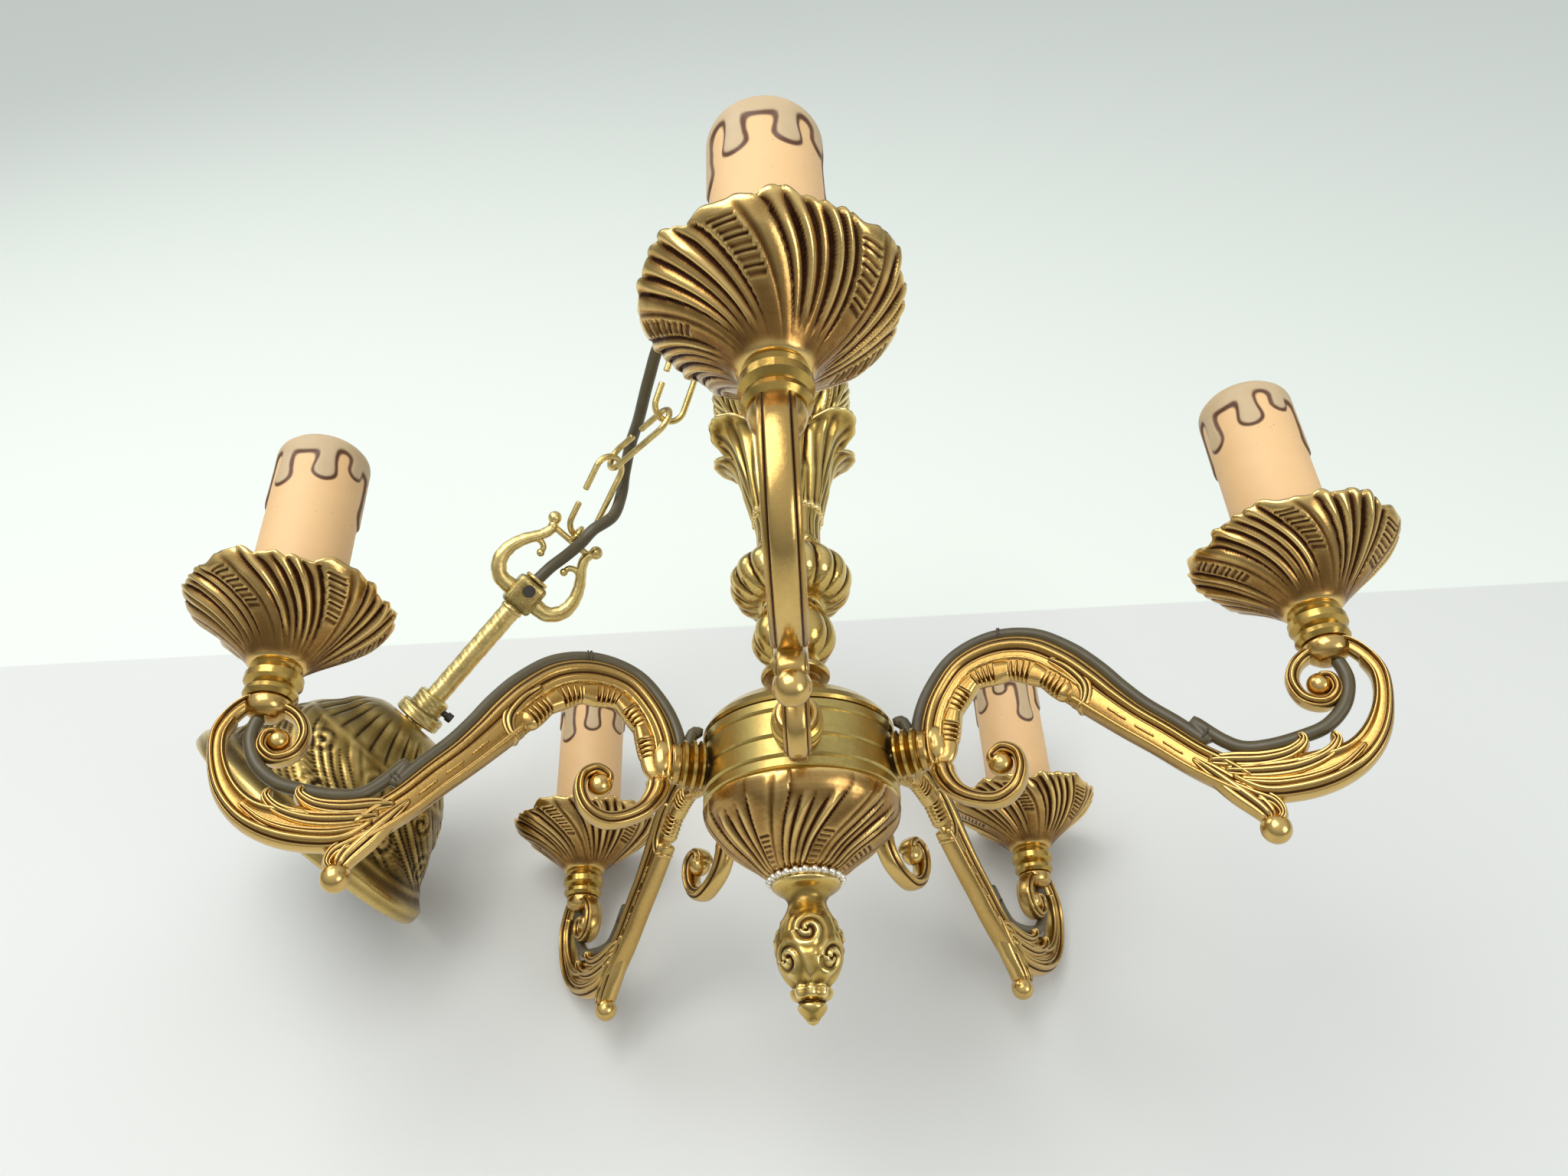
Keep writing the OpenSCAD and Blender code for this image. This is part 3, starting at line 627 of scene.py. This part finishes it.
sleeveStyle = {
    "radius": 15.45, "bottom": 32.5, "top": 112, "wall": 1.6, "waxLine": 104,
    # each drip: place round the sleeve in degrees, half width, height of its lower end
    "drips": [(5, 3.4, 91), (47, 2.6, 97), (88, 3.6, 82), (133, 3.0, 92), (172, 3.6, 78),
              (222, 2.8, 96), (262, 3.8, 85), (310, 3.2, 89)],
    "twists": [20, 96, 205, 150, 262],  # how far each candle is turned, in degrees
}


def makeSleeve():
    s = sleeveStyle
    r0, inner = s["radius"], s["radius"] - s["wall"] + 0.2
    top = s["top"]
    wall = [[r0, s["bottom"]], [r0, top - 4.5], [r0 - 0.25, top - 2.4], [r0 - 1.3, top - 0.7],
            [r0 - 3, top]]
    inside = [[12.6, top - 0.5], [12.3, top - 1.8], [inner, top - 3.4], [inner, s["bottom"]],
              [r0, s["bottom"]]]
    loop = np.array(wall + inside)
    length = np.r_[0, np.cumsum(np.linalg.norm(np.diff(loop, axis=0), axis=1))]
    wallEnd = length[len(wall) - 1]

    def place(u, v):
        at = np.interp(v, [0, 0.1, 0.8, 1], [0, wallEnd - 46, wallEnd, length[-1]])
        r, z = np.interp(at, length, loop[:, 0]), np.interp(at, length, loop[:, 1])
        angle = 2 * np.pi * u
        around = angle * r0
        edge = s["waxLine"] + 1.6 * np.sin(4 * angle) - z
        for bearing, half, low in s["drips"]:
            gap = (around - math.radians(bearing) * r0 + np.pi * r0) % (2 * np.pi * r0) - np.pi * r0
            girth = half * (0.82 + 0.25 * np.exp(-((z - low - half) / 4) ** 2))
            finger = np.hypot(gap, np.minimum(z - (low + half), 0)) - girth
            edge = -np.log(np.exp(-edge * 0.9) + np.exp(-np.clip(finger, -30, 30) * 0.9)) / 0.9
        onWall = at <= wallEnd
        edge = np.where(onWall, edge, -3.0)
        swell = 0.85 / (1 + np.exp(np.clip(edge * 3.2, -30, 30)))
        r = r + np.where(onWall, swell * np.clip((top + 0.5 - z) / 4, 0.2, 1), 0)
        return np.stack([r * np.cos(angle), r * np.sin(angle), z], 1), {"wax": edge}

    return gridPiece("sleeve", 200, 110, place)


sleeve = makeSleeve()
markHollows(sleeve)
for k in range(5):
    piece = sleeve.copy()
    piece.data = sleeve.data.copy()
    bpy.context.scene.collection.objects.link(piece)
    piece.name = piece.data.name = "candleSleeve_%d" % (k + 1)
    twist = Matrix.Rotation(math.radians(sleeveStyle["twists"][k]), 4, "Z")
    piece.data.transform(toCup @ twist)
    settle(piece, "candle_%d" % (k + 1), candleWax, ["sleeve_%d" % (k + 1)],
           armTurns[k])
bpy.data.objects.remove(sleeve)
print("candle sleeves made")


bowlStyle = {
    "repeats": 6, "twist": 0.6, "depth": 2.0,
    "outer": [[34.0, -13], [34.3, -14.6], [32.4, -19.6], [26.2, -26.3], [18.7, -32.3],
              [12.2, -37.6], [5.2, -38]],
    "inner": [[32.6, -13], [32.8, -14.6], [31, -18.8], [25, -24.9], [17.6, -30.8],
              [11.4, -36.1], [5.2, -36.4]],
}


def bowlRelief(angle, share, r, z, onOuter):
    b = bowlStyle
    band = np.sin(np.pi * np.clip(share, 0, 1)) ** 0.35
    lift = swirl(angle, share, b["repeats"], b["twist"], 0.42, 4) * b["depth"] * band
    lift *= np.clip(r / 30, 0.25, 1)
    return np.where(onOuter, lift * 0.6, 0), np.where(onOuter, -lift * 0.55, 0)


bowl = shellPiece("flutedBowl", bowlStyle["outer"], bowlStyle["inner"], 360, 120, bowlRelief)
settle(bowl, "chandelier", cupBrass, ["bowl"], depth=0.4)


finialStyle = {
    "rosettes": 4, "rows": [(-58.5, 0.0), (-67, 0.5)],  # each row's height, and its share of a turn
    "urn": [[0, -40.5], [10.8, -40.5], [11, -42], [8.2, -44], [6.5, -46.5], [7.2, -49.5],
            [9.6, -54], [11, -59], [11.2, -63], [10.4, -67.5], [8.2, -71.5], [5.8, -74],
            [5.4, -75], [0, -75]],
    "tip": [[0, -75], [6, -75], [6.5, -76.4], [5.8, -78], [4.0, -79], [4.8, -80.4], [4.1, -82],
            [2.2, -84.2], [1.6, -85.2], [0, -86]],
}


def finialRelief(angle, share, r, z):
    lift = np.zeros_like(angle)
    for k in range(finialStyle["rosettes"]):  # scrolled rosettes round the urn
        for level, shift in finialStyle["rows"]:
            away = (angle - (k + shift) * np.pi / 2 + np.pi) % (2 * np.pi) - np.pi
            d = np.hypot(away * r, z - level)
            spiral = np.cos(2 * np.pi * d / 3.4 + 1.5 * np.arctan2(z - level, away * r))
            lift += 0.75 * spiral * np.exp(-(d / 4.6) ** 2)
    low = np.clip((-68 - z) / 5, 0, 1)
    lift += 0.5 * low * np.cos(8 * angle)
    urn = np.clip((-48 - z) / 3, 0, 1)
    return lift * urn, np.zeros_like(angle)


def tipRelief(angle, share, r, z):
    return 0.35 * np.cos(8 * angle) * (share < 0.55), 0 * angle


finial = turnedPiece("urnFinial", finialStyle["urn"], 200, 150, finialRelief, smoothSteps=5)
settle(finial, "chandelier", goldenBrass, ["finial"], depth=0.3)

tip = turnedPiece("finialTip", finialStyle["tip"], 96, 70, tipRelief, smoothSteps=5)
settle(tip, "chandelier", goldenBrass, ["finial_nut"], depth=0.3)


beadStyle = {
    "count": 24, "ring": 12.35, "height": -39.25, "radius": 1.32,
    "band": [[11, -40.45], [12, -39.8], [12, -38.7], [11, -38.05]],
}


def makeBeads():
    b = beadStyle
    parts = [turnedPiece("beadBand", b["band"], 96, 30, bore=rodBore)]
    for k in range(b["count"]):
        a = 2 * math.pi * k / b["count"]
        at = (b["ring"] * math.cos(a), b["ring"] * math.sin(a), b["height"])
        parts.append(ballPiece("bead", at, b["radius"], 1, 8))
    return joinPieces("silverBeads", parts)


settle(makeBeads(), "chandelier", silvered, ["bead_ring"])
print("hub made")


def gadroons(count, depth, twist=0.0, power=0.6):
    def relief(angle, share, r, z):
        wave = np.abs(np.cos(count / 2 * (angle + twist * share))) ** power
        return depth * (wave - 0.6) * np.sin(np.pi * share) ** 0.5, np.zeros_like(angle)
    return relief


def leafRelief(count, depth, twist=0.0):
    def relief(angle, share, r, z):
        turn = (angle * count / (2 * np.pi) + twist * share) % 1 - 0.5
        edge = 0.46 * np.sin(np.pi * np.clip(share * 0.9 + 0.08, 0, 1)) ** 0.6
        leaf = 1 / (1 + np.exp(np.clip((np.abs(turn) - edge) * 40, -30, 30)))
        vein = np.exp(-(turn / 0.035) ** 2)
        ribs = 0.5 + 0.5 * np.cos(2 * np.pi * (share * 9 - np.abs(turn) * 6))
        lift = leaf * (0.8 + 0.45 * vein - 0.4 * ribs * (np.abs(turn) > 0.05)) - 0.5
        return depth * lift, np.zeros_like(angle)
    return relief


stemPieces = [
    ("stemCollar", "stem_collar", [[9, 31], [10.2, 33], [9.2, 36], [9.6, 37.6], [12.4, 38.2],
                                   [13, 39.6], [12.4, 41], [9.4, 42.4], [8.6, 45]], None),
    ("lobedBulb", "stem_bulb", [[8.6, 45.05], [12.6, 48], [15, 52], [15.6, 56], [14.6, 61],
                                [12.4, 65.5], [11, 68], [11.8, 69.9]], gadroons(8, 1.6, 0.3, 0.7)),
    ("gadroonedKnop", "stem_knop", [[12, 70.1], [17, 71.6], [21.5, 75.4], [23.4, 80.5],
                                    [22.8, 85], [19.6, 89], [15, 91.6], [12.6, 94.9]],
     gadroons(16, 1.9, 0.25, 0.55)),
    ("reededNeck", "stem_neck", [[12.4, 95.1], [13.5, 97], [12.6, 99.5], [12.8, 107],
                                 [14, 111.9]], gadroons(20, 0.9, 0, 0.6)),
    ("leafVase", "stem_vase", [[11, 148.25], [12.5, 151], [16.5, 156], [21.5, 162],
                               [26.2, 168.5], [29.4, 175], [30, 181], [27, 188], [20.5, 194.5],
                               [13, 199.5], [9.2, 204], [9.3, 205.9]], leafRelief(8, 1.7, 0.0)),
    ("stemCrown", "stem_top", [[9.4, 206.1], [13.4, 208.2], [14.6, 212], [13, 216],
                               [8.6, 219.5], [7.2, 224], [7.4, 228.5], [9.4, 231], [9, 234],
                               [6.6, 236]], None),
]
for name, node, profile, relief in stemPieces:
    piece = turnedPiece(name, profile, 220 if relief else 96, 90, relief, rodBore, 3)
    settle(piece, "chandelier", goldenBrass if relief else antiqueBrass, [node],
           depth=0.35)


leafCupStyle = {
    "leaves": 6, "curl": 8.5, "droop": 6.0,
    "outer": [[5.2, 112], [14.2, 112], [15.2, 116], [18, 127], [20.4, 136], [24, 145.5],
              [29, 151.5], [34.2, 154.0]],
    "inner": [[5.2, 113.6], [12.6, 113.6], [13.6, 117], [16.2, 127.5], [18.6, 136.5],
              [22.4, 146.5], [28, 153], [33.6, 155.6]],
}


def leafCupRelief(angle, share, r, z, onOuter):
    c = leafCupStyle
    turn = (angle * c["leaves"] / (2 * np.pi)) % 1 - 0.5
    tip = np.clip((share - 0.45) / 0.55, 0, 1)
    notch = (np.abs(turn) * 2) ** 2
    vein = np.exp(-(turn / 0.04) ** 2)
    ribs = np.cos(2 * np.pi * (np.abs(turn) * 5 - share * 1.5))
    lift = 0.9 * vein + 0.5 * ribs - 1.6 * notch ** 2
    grow = np.clip(share * 5, 0, 1)
    return grow * lift * 0.7 - tip * notch * c["curl"], -tip * notch * c["droop"] * tip


leaves = shellPiece("leafCup", leafCupStyle["outer"], leafCupStyle["inner"], 300, 120,
                    leafCupRelief)
settle(leaves, "chandelier", goldenBrass, ["leaf_cup"], depth=0.4)
print("stem made")


wireStyle = {
    "radius": 2.2,
    "line": [[35.5, 11.6], [39, 12], [42.5, 15], [45.5, 22], [51.5, 29.5], [59, 35.5],
             [67, 39], [76, 40.2], [85, 38.2], [93, 34.2], [101, 28.3], [109, 20], [117, 11],
             [125, 1.5], [133, -8], [140, -15.6], [146, -19.8], [154, -20.6], [163, -19.6],
             [171, -17.5], [177.5, -12], [180.8, -4.5], [180.4, 2], [178, 7.5]],
}
hug = outerBand([[x, z, w + 3.1] for x, z, w in armStyle["scroll"]], 1, 0)[1:13]
wirePath = wireStyle["line"][:2] + [[x, z] for x, z, w in hug] + wireStyle["line"][14:]
armWire = tubePiece("armWire", [[x, 0, z] for x, z in wirePath], wireStyle["radius"], 16, 5)
onEveryArm(armWire, "armWire_%d", "chandelier", "flex", flexSkin, "arm_wire_%d")


tieStyle = {
    "places": [(77, 38.4, 0), (136, -13.5, 43)],  # out along the arm, height, tilt in degrees
    "turns": (-0.5, 0.35), "radius": 2.6, "thread": 0.3,
}


def makeTies():
    t = tieStyle
    parts = []
    for turn in armTurns:
        for x, z, tilt in t["places"]:
            for shift in t["turns"]:
                bpy.ops.object.select_all(action="DESELECT")
                bpy.ops.mesh.primitive_torus_add(major_radius=t["radius"], minor_radius=t["thread"],
                                                 major_segments=28, minor_segments=8)
                ring = bpy.context.object
                bpy.ops.object.shade_smooth()
                ring.data.transform(
                    Matrix.Rotation(math.radians(turn), 4, "Z") @ Matrix.Translation((x, 0, z))
                    @ Matrix.Rotation(math.radians(90 + tilt), 4, "Y")
                    @ Matrix.Rotation(shift * 0.3, 4, "X") @ Matrix.Translation((0, 0, shift)))
                parts.append(ring)
    return joinPieces("wireTies", parts)


settle(makeTies(), "chandelier", tieThread, ["wire_ties"])

# The supply flex, in lengths that each run from one chain link to the next.
flexStyle = {
    "radius": 2.9,
    "line": [[-7.5, 1.5, 222], [-16, 4, 231.5], [-28, 2.5, 239.5], [-42, 2.5, 242], [-55, 9, 231],
             [-63, 24, 220], [-70, 42, 212], [-76, 56, 208], [-80, 65, 197], [-81.5, 68, 187],
             [-85, 67.5, 173], [-94, 66, 164], [-100, 68.5, 158.5], [-108, 73.5, 155],
             [-116, 77, 151], [-124, 79.5, 144]],
    "bodies": ["chandelier", "chain_link_1", "chain_link_2", "chain_link_3", "chain_link_4", "hanger"],
    "breaks": [0, 2, 4.25, 7, 10.25, 15],  # whole twelfths, so that the lengths meet
}


def makeFlex():
    f = flexStyle
    line = smoothLine(f["line"], 12)
    steps = np.arange(len(line)) / 12
    for k in range(5):
        a, b = f["breaks"][k], f["breaks"][k + 1]
        part = line[(steps >= a - 1e-6) & (steps <= b + 1e-6)]
        length = np.r_[0, np.cumsum(np.linalg.norm(np.diff(part, axis=0), axis=1))]

        def place(u, v, part=part, length=length, k=k):
            def spot(w):
                return np.stack([np.interp(w * length[-1], length, part[:, j]) for j in range(3)], 1)
            rim = np.where((v < 0.008) | (v > 0.992), 0.0, 1.0)[:, None]
            v = np.clip((v * 62 - 1) / 60, 0, 1)
            at = spot(v)
            full = line
            nearest = np.argmin(((at[:, None, :] - full[None, :, :]) ** 2).sum(2), axis=1)
            run = full[np.clip(nearest + 1, 0, len(full) - 1)] - full[np.clip(nearest - 1, 0, len(full) - 1)]
            run /= np.linalg.norm(run, axis=1)[:, None]
            one = np.cross(run, np.array([0.1, 0.8, 0.6]))
            one /= np.linalg.norm(one, axis=1)[:, None]
            two = np.cross(run, one)
            angle = 2 * np.pi * u
            return at + rim * f["radius"] * (np.cos(angle)[:, None] * one + np.sin(angle)[:, None] * two)

        piece = gridPiece("supplyFlex_%d" % (k + 1), 22, 62, place)
        settle(piece, None, flexSkin, ["main_flex"])
        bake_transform(piece)


makeFlex()
print("wires made")


chainDirs = [(168, -24, 55), (128, -52, -85), (140, -8, 10), (134, -45, -100), (158, -44, -55)]


def heading(a):
    az, el = math.radians(a[0]), math.radians(a[1])
    return Vector((math.cos(el) * math.cos(az), math.cos(el) * math.sin(az), math.sin(el)))


def along(start, a):
    return (Matrix.Translation(start) @ Matrix.Rotation(math.radians(a[0]), 4, "Z")
            @ Matrix.Rotation(math.radians(90 - a[1]), 4, "Y")
            @ Matrix.Rotation(math.radians(a[2]), 4, "Z"))


chainStyle = {"wire": 3.0, "pitch": 38.0, "half": 7.25, "hang": 2.15, "loopZ": 247.0, "loopR": 9.0}
contacts = [Vector((0, 0, chainStyle["loopZ"]))
            + (chainStyle["loopR"] - chainStyle["hang"]) * heading(chainDirs[0])]
for a in chainDirs[:4]:
    contacts.append(contacts[-1] + chainStyle["pitch"] * heading(a))
onHook = along(contacts[4], chainDirs[4])


def makeLink(k):
    c = chainStyle
    straight = c["pitch"] / 2 + c["hang"] - c["half"]
    pts = []
    n = 22
    for i in range(n + 1):
        a = math.pi * i / n
        pts.append((c["half"] * math.cos(a), 0, straight + c["half"] * math.sin(a)))
    for i in range(1, 6):
        pts.append((-c["half"], 0, straight - 2 * straight * i / 6))
    for i in range(n + 1):
        a = math.pi + math.pi * i / n
        pts.append((c["half"] * math.cos(a), 0, -straight + c["half"] * math.sin(a)))
    for i in range(1, 6):
        pts.append((c["half"], 0, -straight + 2 * straight * i / 6))
    # the wire's two ends meet in a butt gap on one straight side
    m = 25
    pts = pts[m:] + pts[:m]
    gap = 1.5 if k == 4 else 0.25
    line = np.array(pts)
    pull = np.array([0, 0, gap / 2 if line[0][2] < line[-1][2] else -gap / 2])
    line = np.vstack([line[0] - pull, line[1:-1], line[-1] + pull])
    piece = tubePiece("chainLink_%d" % k, line, c["wire"] / 2, 20, 3, (0, 1, 0.001))
    piece.data.transform(along((contacts[k - 1] + contacts[k]) / 2, chainDirs[k - 1]))
    settle(piece, "chain_link_%d" % k, wornBrass, ["link_%d" % k], depth=0.3)


for k in range(1, 5):
    makeLink(k)


def makeLyre():
    parts = []
    for side in (1, -1):
        arm = [[12.6, 3.4, 4], [10.8, 7.5, 4.4], [12.8, 13, 4.6], [17.2, 19.5, 5], [20, 27, 5.6],
               [19.6, 34.5, 6.4], [15, 40, 6.6], [9, 41, 7], [3, 40, 7]]
        curl = [[14.6, 16.5, 3.6], [11.6, 15.2, 3.2], [8.2, 16.4, 3], [7.2, 19, 3]]
        parts.append(strandPiece("lyreArm", [[x * side, z, w * 1.1] for x, z, w in arm], 5.6, 24, 130,
                                 roundWire=True, wave=(0.06, 5)))
        parts.append(strandPiece("lyreCurl", [[x * side, z, w] for x, z, w in curl], 3.5, 22, 60,
                                 roundWire=True))
        parts.append(ballPiece("lyreBall", (13 * side, 0, 2.4), 3.3, 1, 14))
        parts.append(ballPiece("lyreTip", (7.3 * side, 0, 19.6), 2.0, 1, 10))
    bar = tubePiece("lyreBar", [(-11.5, 0, 5.85), (-4, 0, 5.85), (4, 0, 5.85), (11.5, 0, 5.85)], 1.6, 16, 4)
    ring = [(0, 4 * math.cos(a), 1.85 + 4 * math.sin(a)) for a in np.linspace(0, 2 * math.pi, 28)]
    eye = tubePiece("lyreEye", ring, 1.3, 14, 2, (1, 0, 0))
    parts += [bar, eye]
    hook = joinPieces("lyreHook", parts)
    hook.data.transform(onHook)
    settle(hook, "hanger", wornBrass, ["lyre_hook"], depth=0.3)


makeLyre()


blockStyle = {
    "middle": 40, "size": (15, 13, 16), "edge": 2.2,
    # caps: name, lower end, upper end, radius
    "caps": [("topCap", 48, 50.5, 5.6), ("bottomCap", 29.8, 32, 6)],
}


def makeBlock():
    b = blockStyle
    bpy.ops.object.select_all(action="DESELECT")
    bpy.ops.mesh.primitive_cube_add(size=1, location=(0, 0, b["middle"]), scale=b["size"])
    block = bpy.context.object
    bpy.ops.object.transform_apply(location=True, rotation=True, scale=True)
    for kind, settings in (("BEVEL", {"width": b["edge"], "segments": 3}),
                           ("SUBSURF", {"levels": 3, "render_levels": 3, "subdivision_type": "SIMPLE"})):
        change = block.modifiers.new(kind.lower(), kind)
        for key, value in settings.items():
            setattr(change, key, value)
        bpy.ops.object.modifier_apply(modifier=change.name)
    bpy.ops.object.shade_smooth()
    for name, low, high, wide in b["caps"]:
        cap = turnedPiece(name, [[0, low], [wide, low + 0.2], [wide, high - 0.2], [0, high]], 40, 20)
        block = joinPieces("hookBlock", [block, cap])
    block.data.transform(onHook)
    settle(block, "hanger", wornBrass, ["hook_block"], depth=0.25, passes=5)


makeBlock()


def dents(angle, share, r, z):
    return (0.10 * np.sin(3 * angle + z * 0.31) * np.sin(z * 0.83 + 2 * angle)
            + 0.05 * np.sin(z * 2.9 + 5 * angle), np.zeros_like(angle))


tubeStyle = {"outline": [[4.6, 41], [5, 41.6], [5, 167.4], [4.6, 168]], "bore": 3.6}
stopStyle = {
    "outline": [[7.4, 103], [8, 103.7], [8, 110.4], [8.6, 111], [10.6, 111], [11.2, 111.7],
                [11.2, 116.3], [10.5, 117]],
    "bore": 5.05,
}

tube = turnedPiece("hookTube", tubeStyle["outline"], 48, 240, dents, tubeStyle["bore"])
tube.data.transform(onHook)
settle(tube, "hanger", wornBrass, ["ceiling_tube"], depth=0.1)
stop = turnedPiece("stopCollar", stopStyle["outline"], 72, 90, dents, stopStyle["bore"])
stop.data.transform(onHook)
settle(stop, "canopy_stop", wornBrass, ["collar"], depth=0.15, passes=5)

canopyStyle = {
    "seat": 117.6, "dir": (169, -47, 0), "drop": 1.6,
    "outer": [[7.6, 0], [13.5, 0], [19, 1.6], [26, 6.5], [31, 13], [38, 20], [43.5, 28],
              [48, 38], [52, 47], [55.5, 53], [59, 57], [62.6, 60], [62.9, 63], [62.6, 65.8], [61, 66.9]],
    "inner": [[7.6, 1.6], [13, 1.6], [18.2, 3.1], [25, 7.9], [29.8, 14.2], [36.7, 21.1],
              [42, 29], [46.5, 38.7], [50.6, 47.8], [54.4, 54.2], [58, 58.4], [61, 61.4],
              [61.2, 64], [60.6, 66], [60, 66.9]],
}


def canopyRelief(angle, share, r, z, onOuter):
    upper = np.clip((z - 4) / 4, 0, 1) * np.clip((22 - z) / 3, 0, 1)
    flutes = np.abs(np.cos(14 * (angle + 0.012 * z))) ** 0.6 - 0.6
    lower = np.clip((z - 21) / 4, 0, 1) * np.clip((53 - z) / 4, 0, 1)
    scrolls = np.zeros_like(angle)
    for k in range(9):
        for level, shift, size in ((30, 0.0, 6.2), (45, 0.5, 7.0)):
            away = (angle - (k + shift) * 2 * np.pi / 9 + np.pi) % (2 * np.pi) - np.pi
            x, y = away * r, (z - level) * 1.2
            d = np.hypot(x, y)
            turn = np.arctan2(y, x) * (1 if k % 2 else -1)
            scrolls += np.cos(2 * np.pi * d / 5.2 + turn) * np.exp(-(d / size) ** 2)
    leafy = swirl(angle, np.clip((z - 18) / 38, 0, 1), 7, 1.3, 0.42, 4)
    band = 0.35 * np.exp(-((z - 22) / 1.2) ** 2) + 0.5 * np.exp(-((z - 54.5) / 1.0) ** 2)
    lift = 1.3 * upper * flutes + 1.5 * lower * (scrolls * 0.4 + leafy * 0.8) + band
    lift = np.where(onOuter, lift, 0.0)
    return lift * 0.75, -lift * 0.45


canopy = shellPiece("reliefCanopy", canopyStyle["outer"], canopyStyle["inner"], 420, 160, canopyRelief)
seat = contacts[4] + canopyStyle["seat"] * heading(chainDirs[4])
canopy.data.transform(along(seat, canopyStyle["dir"]) @ Matrix.Translation((0, 0, canopyStyle["drop"])))
settle(canopy, "canopy", canopyBrass, ["canopy"], depth=0.4)
print("chain, hook and canopy made")


plainFinishes = {
    "drum": satinBrass, "drum_cover": goldenBrass, "hub_spools": goldenBrass,
    "neck_spools": goldenBrass, "top_loop": goldenBrass, "tube_nut": zincSteel,
    "hook_screw": blackSteel, "grub_screw": blackSteel, "arm_studs": zincSteel,
    "arm_nuts": zincSteel, "rod_nuts": zincSteel, "centre_rod": zincSteel,
    "holder_nipples": zincSteel,
}
for name, finish in plainFinishes.items():
    nodes[name].data.materials.clear()
    nodes[name].data.materials.append(finish)
for k in range(1, 6):
    nodes["lampholder_%d" % k].data.materials.clear()
    nodes["lampholder_%d" % k].data.materials.append(holderPlastic)
print("solid parts finished")


stageStyle = {"size": 24.0, "line": 0.204, "near": (0.735, 0.745, 0.715), "far": (0.83, 0.875, 0.81)}


def makeStage():
    bpy.ops.object.select_all(action="DESELECT")
    bpy.ops.mesh.primitive_plane_add(size=stageStyle["size"], location=(0, 0, -0.0004))
    floor = bpy.context.object
    floor.name = "floor"
    bpy.ops.object.transform_apply(location=True, rotation=False, scale=False)
    finish, tree, shader, where = startFinish("paleTable", 0.0, Roughness=0.6)
    y = put(tree, "SeparateXYZ", None, Vector=where).outputs["Y"]
    line = stageStyle["line"]
    far = put(tree, "MapRange", None, Value=y, i1=line, i2=line + 0.002).outputs[0]
    tree.links.new(blendColour(tree, far, (*stageStyle["near"], 1), (*stageStyle["far"], 1)),
                   shader.inputs["Base Color"])
    floor.data.materials.append(finish)


lightStyle = [
    # name, place, size, watts, colour
    ("ceilingLight", (-0.35, -0.1, 1.4), 0.9, 9.5, (1.0, 0.99, 0.97)),
    ("windowLight", (1.2, -1.0, 0.9), 0.7, 5.5, (0.96, 0.98, 1.0)),
    ("backLight", (-0.9, 0.9, 1.1), 0.7, 3, (1.0, 1.0, 1.0)),
]
roomStyle = {"low": 0.22, "high": 0.80, "tint": (0.94, 0.975, 1.0)}


def makeLights():
    for name, place, size, watts, colour in lightStyle:
        bpy.ops.object.light_add(type="AREA", location=place)
        lamp = bpy.context.object
        lamp.name = name
        lamp.data.size = size
        lamp.data.energy = watts
        lamp.data.color = colour
        lamp.rotation_euler = (Vector((0, 0, 0.1)) - Vector(place)).to_track_quat("-Z", "Y").to_euler()
    world = bpy.data.worlds.new("softRoom")
    bpy.context.scene.world = world
    world.use_nodes = True
    tree = world.node_tree
    height = put(tree, "SeparateXYZ", None, Vector=tree.nodes.new("ShaderNodeTexCoord").outputs["Generated"])
    glow = put(tree, "MapRange", None, Value=height.outputs["Z"], i1=-0.05, i2=0.8,
               i3=roomStyle["low"], i4=roomStyle["high"])
    tree.nodes["Background"].inputs[0].default_value = (*roomStyle["tint"], 1)
    tree.links.new(glow.outputs[0], tree.nodes["Background"].inputs[1])
    bpy.context.scene.view_settings.view_transform = "Standard"


cameraStyle = {
    "place": (0.03645, -0.36303, 0.45446), "lens": 26.69,
    "right": (0.9984, -0.0242, -0.0503), "up": (0.0547, 0.6002, 0.7980), "back": (0.0109, -0.7995, 0.6006),
}


def makeCamera():
    c = cameraStyle
    bpy.ops.object.camera_add()
    camera = bpy.context.object
    camera.name = "mainCamera"
    camera.data.lens = c["lens"]
    camera.data.sensor_width = 36
    camera.data.clip_start = 0.01
    turn = Matrix((c["right"], c["up"], c["back"])).transposed().to_quaternion().to_matrix().to_4x4()
    camera.matrix_world = Matrix.Translation(c["place"]) @ turn
    bpy.context.scene.camera = camera


makeStage()
makeLights()
makeCamera()
print("stage, lights and camera made")
